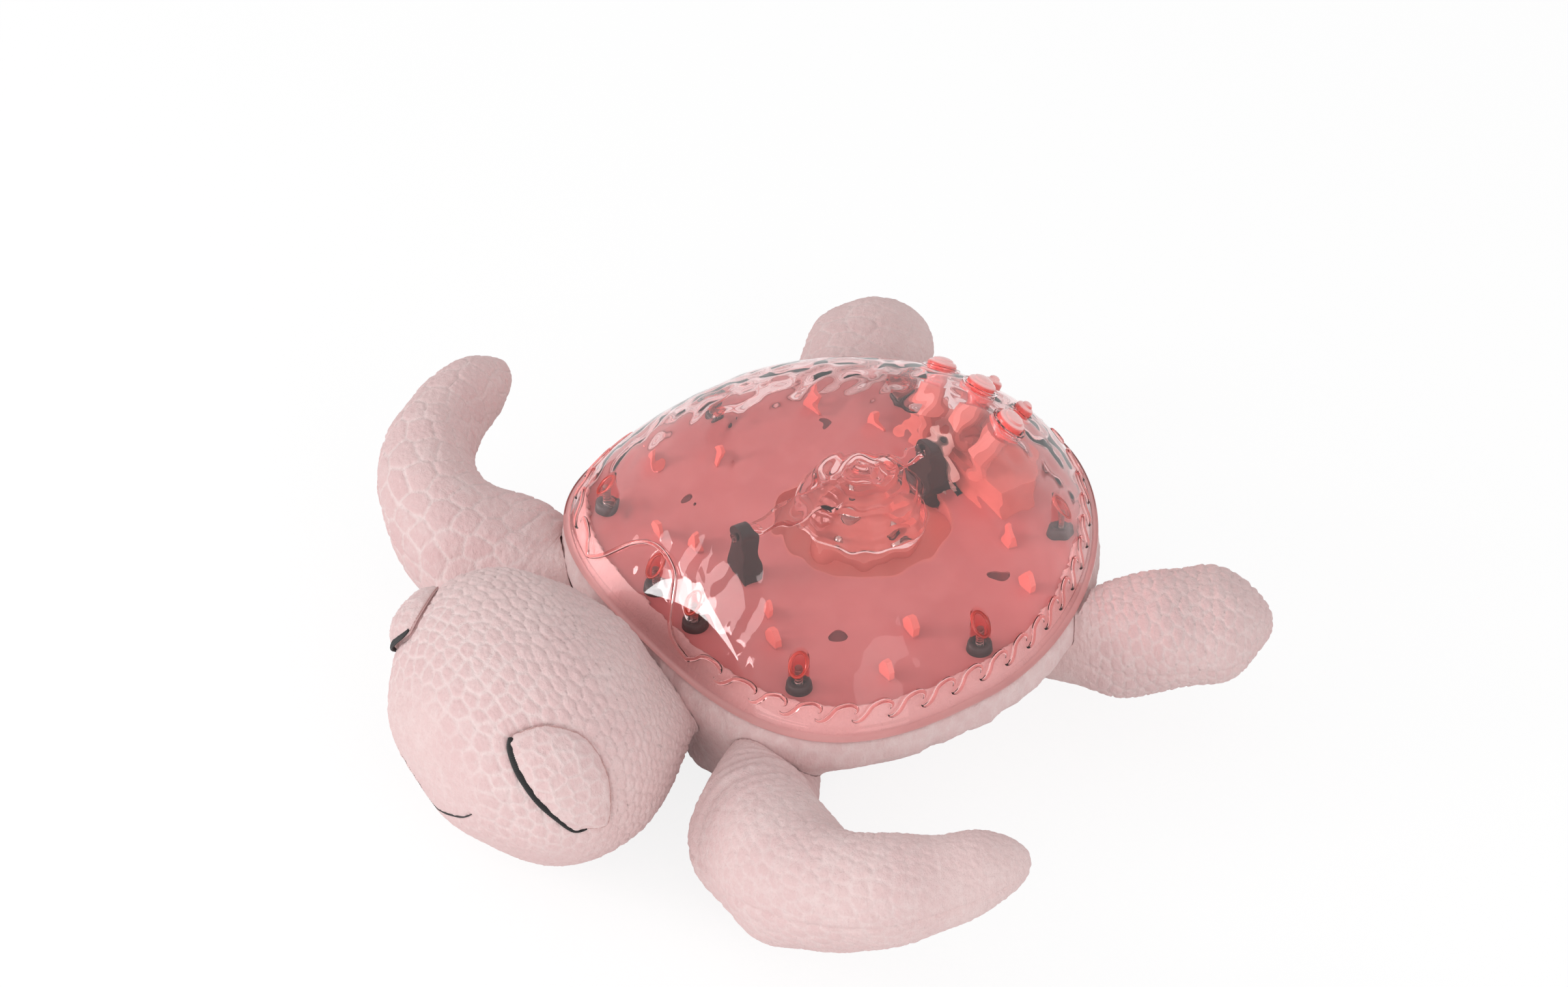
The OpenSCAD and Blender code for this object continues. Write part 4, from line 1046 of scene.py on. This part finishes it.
def painted_glow_rim_piece(material):
    """Opaque deep red rims where the bosses meet the shell's inner side: a painted glow for the deep red that
    shows looking down the clear boss walls.
    """
    radius = 3.2
    drop = 1.6 * SHELL_WALL
    a = circle(BOSS_SIDES)
    rims = []
    for place in BOSS_PLACES:
        levels = roof_heights(place, radius, drop)
        rims.append((wound(place, a, levels, radius, 0.8, 0.6, 10)[1], None, True))
    add_trim("painted_glow_rims", rims, material)


def seat_piece(material):
    """Dark seats on the plate under the bosses: painted shade at the bosses' feet."""
    inner = 2.6
    low = PLATE_TOP + 0.05
    top = low + SEAT_H
    profile = ((4.1, top), (4.6, top - 0.5), (5.0, low), (inner, low), (inner, top))
    seat = turned(profile, BOSS_SIDES)
    seats = [(seat + np.append(place, 0), None, True) for place in BOSS_PLACES]
    add_trim("boss_seats", seats, material)


def thread_piece(material):
    """Screw threads that show through the bosses."""
    pitch = 1.1
    radius = 1.3
    ridge = 0.28
    levels = np.linspace(PLATE_TOP + 0.6, SCREW_TOP - 0.4, 220)
    coils = []
    for place in BOSS_PLACES:
        core, rings = wound(place, levels * 2 * np.pi / pitch, levels, radius, ridge, ridge, 8)
        coils.append((rings, core[[0, -1]], False))
    add_trim("screw_threads", coils, material)


def collar_piece(material):
    """Raised clear collars round the large buttons."""
    radius = BIG_BUTTON_R + 1.3
    thick = 0.6
    profile = [(radius + thick * math.cos(b), -thick * math.sin(b)) for b in circle(16)]
    collars = [(dome_tube(spot, profile)[0], None, True) for spot in BIG_SPOTS]
    add_trim("button_collars", collars, material)


def dress(material, *nodes):
    """Gives CAD nodes a finished material."""
    for node in nodes:
        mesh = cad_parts[node].data
        mesh.materials.clear()
        mesh.materials.append(material)


def dress_cad():
    """Finishes of the moulded, metal and board pieces that show as they are."""
    dress(moulded("coral_plate", srgb(203, 124, 123), srgb(196, 114, 114), 0.42, tips=srgb(240, 134, 126),
                  dish=srgb(214, 128, 119)), "base_plate")
    dress(moulded("coral_tower", srgb(226, 134, 124), srgb(214, 120, 112), 0.4), "button_tower")
    # painted light and shade: pale lit tops and deeper shaded sides on the buttons
    dress(button_painted_light("pink_button", srgb(255, 196, 194), srgb(236, 104, 98)),
          "button_left", "button_center", "button_right", "small_button_left", "small_button_right")
    dress(moulded("black_post", srgb(22, 18, 18), srgb(34, 27, 27), 0.4),
          "bearing_post_front", "bearing_post_rear")
    dress(moulded("housing_pink", srgb(206, 150, 146), srgb(194, 136, 134), 0.5, 0.04),
          "base_housing", "battery_door")
    dress(moulded("acetal_gear", srgb(232, 200, 192), srgb(222, 190, 182), 0.4),
          "sector_gear", "drive_pinion", "motor_bracket")
    dress(moulded("dark_moulding", srgb(44, 42, 45), srgb(58, 54, 57), 0.55), "switches", "speaker")
    # painted shade: the housing screws are coloured dark red for the shade in their wells
    dress(moulded("screw_painted_well_shade", srgb(122, 46, 48), srgb(92, 34, 36), 0.4), "housing_screws")
    dress(metal("motor_can", srgb(200, 200, 204), 0.25, (1, 6, 1)), "motor")
    dress(metal("nickel_contact", srgb(210, 206, 196), 0.2), "battery_contacts")
    dress(moulded("cell_wrap", srgb(120, 128, 134), srgb(104, 112, 120), 0.35, 0.01, 0.2), "battery_cells")
    dress(circuit_board("lamp_board"), "led_board")
    dress(circuit_board("driver_board"), "control_board")
    dress(metal("lamp_cup", srgb(226, 222, 216), 0.12), "leds")
    dress(clear_plastic("clear_lens", srgb(255, 244, 243), (0.98, 0.94, 0.94, 1), (0.95, 0.4, 0.35, 1), 60,
                        0.25, 1.32), "wave_lens")
    steel = metal("plated_screw", srgb(196, 192, 188), 0.25, (1, 1, 6))
    dress(steel, "dome_screws", "door_screw")
    thread_piece(steel)
    # painted shade: dark seats at the feet of the bosses
    seat_piece(moulded("dark_seat_painted_shade", srgb(38, 26, 26), srgb(52, 36, 35), 0.5))


# Stage, light, camera

def plain_floor():
    """Pale floor that stays white to the eye and keeps a soft shadow."""
    size = 6
    mesh = bpy.data.meshes.new("floor")
    corners = [(-size, -size, 0), (size, -size, 0), (size, size, 0), (-size, size, 0)]
    mesh.from_pydata(corners, [], [(0, 1, 2, 3)])
    floor = bpy.data.objects.new("floor", mesh)
    bpy.context.scene.collection.objects.link(floor)
    f = Finish("pale_floor")
    matt = f.node("BsdfDiffuse", None, {"Color": (0.93, 0.93, 0.93, 1)})
    white = f.node("Emission", None, {"Color": (1, 1, 1, 1), "Strength": 1.06})
    f.finish(Surface=f.node("MixShader", None, {0: f.seen() * 0.8, 1: matt, 2: white}))
    mesh.materials.append(f.material)


def white_world():
    """Dim white light all round that the eye sees as plain white."""
    f = Finish("studio", bpy.data.worlds.new("studio"))
    dim = f.node("Background", None, {"Color": (1, 1, 1, 1), "Strength": 0.66})
    white = f.node("Background", None, {"Color": (1, 1, 1, 1), "Strength": 1.0})
    f.node("OutputWorld", None, {"Surface": f.node("MixShader", None, {0: f.seen(), 1: dim, 2: white})})
    bpy.context.scene.world = f.material


def soft_box(name, direction, distance, size, power, mirrored=False):
    """Area lamp that looks at the toy from a direction, or one that only shows in the shell's gloss."""
    lamp = bpy.data.lights.new(name, "AREA")
    lamp.shape = "RECTANGLE"
    lamp.size, lamp.size_y = size
    lamp.energy = power
    box = bpy.data.objects.new(name, lamp)
    way = Vector(direction).normalized()
    box.location = LAMP_AIM + way * distance
    box.rotation_euler = way.to_track_quat("Z", "Y").to_euler()
    box.visible_glossy = mirrored
    box.visible_diffuse = not mirrored
    bpy.context.scene.collection.objects.link(box)


def photo_camera():
    lens = bpy.data.cameras.new("photo_camera")
    lens.sensor_fit = "HORIZONTAL"
    lens.sensor_width = SENSOR_W
    lens.lens = FOCAL_PIXELS / IMAGE_W * SENSOR_W
    camera = bpy.data.objects.new("photo_camera", lens)
    camera.location = CAMERA_AT
    camera.rotation_euler = (math.radians(90 - CAMERA_ELEVATION), 0, math.radians(CAMERA_AZIMUTH))
    bpy.context.scene.collection.objects.link(camera)
    bpy.context.scene.camera = camera


bpy.context.scene.view_settings.view_transform = "Standard"
photo_camera()
plain_floor()
white_world()
soft_box("front_left_card", (-0.46, -0.85, 0.22), 1.3, (0.5, 0.38), 8.5, True)
soft_box("front_left_box", (-0.47, -0.8, 0.37), 1.3, (0.42, 0.5), 3.9)
soft_box("low_front_box", (0.25, -1.0, 0.12), 1.4, (1.0, 0.4), 3.1)
soft_box("right_box", (0.9, -0.1, 0.45), 1.6, (0.8, 1.0), 4.5)

pink_velour = velour("pink_velour")
black_thread = thread("black_thread", srgb(15, 13, 14), srgb(36, 33, 34))
seam_thread = thread("seam_thread", srgb(190, 146, 142), srgb(214, 176, 172))
body_piece(pink_velour)
head_piece(pink_velour)
mouth_piece(black_thread)

# Root, curve, widths, thicknesses, swell, start of the round tip, rings and points per ring
FRONT_SHAPE = (FRONT_ROOT, FRONT_STEPS, (27, 11), (30, 15), 1.5, 0.86, 240, 200)
REAR_SHAPE = (REAR_ROOT, REAR_STEPS, (18, 26), (25, 18), 4, 0.66, 150, 220)

# Side, its name, the front root's extra width behind, height and width ahead, sewing of both flippers
LIMBS = ((1, "left", (0, 6, 3), (5, 5.6, 0.36, 0.7, 0.38, 0.7, 1), (4.2, 7.6, 0.3, 1.0, 0.6, 0.1, 0)),
         (-1, "right", (14, 6, 0), (9.8, 12, 0.16, 1.1, 0.9, 0.2, 0.3), (11, 13, 0.16, 0.8, 0.6, 0.2, 0)))
for limb_side, limb_end, shoulder, front_sewing, rear_sewing in LIMBS:
    eyelid_piece(limb_side, "eyelid_" + limb_end, pink_velour)
    lash_piece(limb_side, "stitched_lash_" + limb_end, black_thread)
    lid_stitch_piece(limb_side, "lid_stitches_" + limb_end, seam_thread)
    flipper_piece(limb_side, "front_flipper_" + limb_end, FRONT_SHAPE, shoulder, front_sewing, pink_velour)
    flipper_piece(limb_side, "rear_flipper_" + limb_end, REAR_SHAPE, (0, 0, 0), rear_sewing, pink_velour)

shell_clear = clear_plastic("clear_pink_shell", srgb(255, 250, 250), (0.99, 0.975, 0.975, 1),
                            (0.95, 0.26, 0.26, 1), 58)
rib_clear = clear_plastic("rib_clear", srgb(255, 246, 245), (0.99, 0.95, 0.95, 1), (0.95, 0.08, 0.05, 1), 300)
boss_clear = clear_plastic("boss_clear", srgb(255, 252, 252), (0.97, 0.8, 0.78, 1), (0.92, 0.12, 0.06, 1),
                           330, bend=1.02)
# the lip's edge colour is painted tint and shade
dome_piece(shell_clear, moulded("lip_edge_painted_tint", srgb(172, 86, 80), srgb(164, 78, 72), 0.25, 0.005),
           moulded("lip_seat", srgb(236, 196, 193), srgb(230, 188, 186), 0.6))
rib_piece(rib_clear)
collar_piece(shell_clear)
boss_piece(boss_clear)
# painted glow: opaque deep red rims for the red seen down the clear boss walls
painted_glow_rim_piece(moulded("painted_boss_glow", srgb(200, 70, 48), srgb(178, 48, 34), 0.2, 0.004, 0.5))
dress_cad()
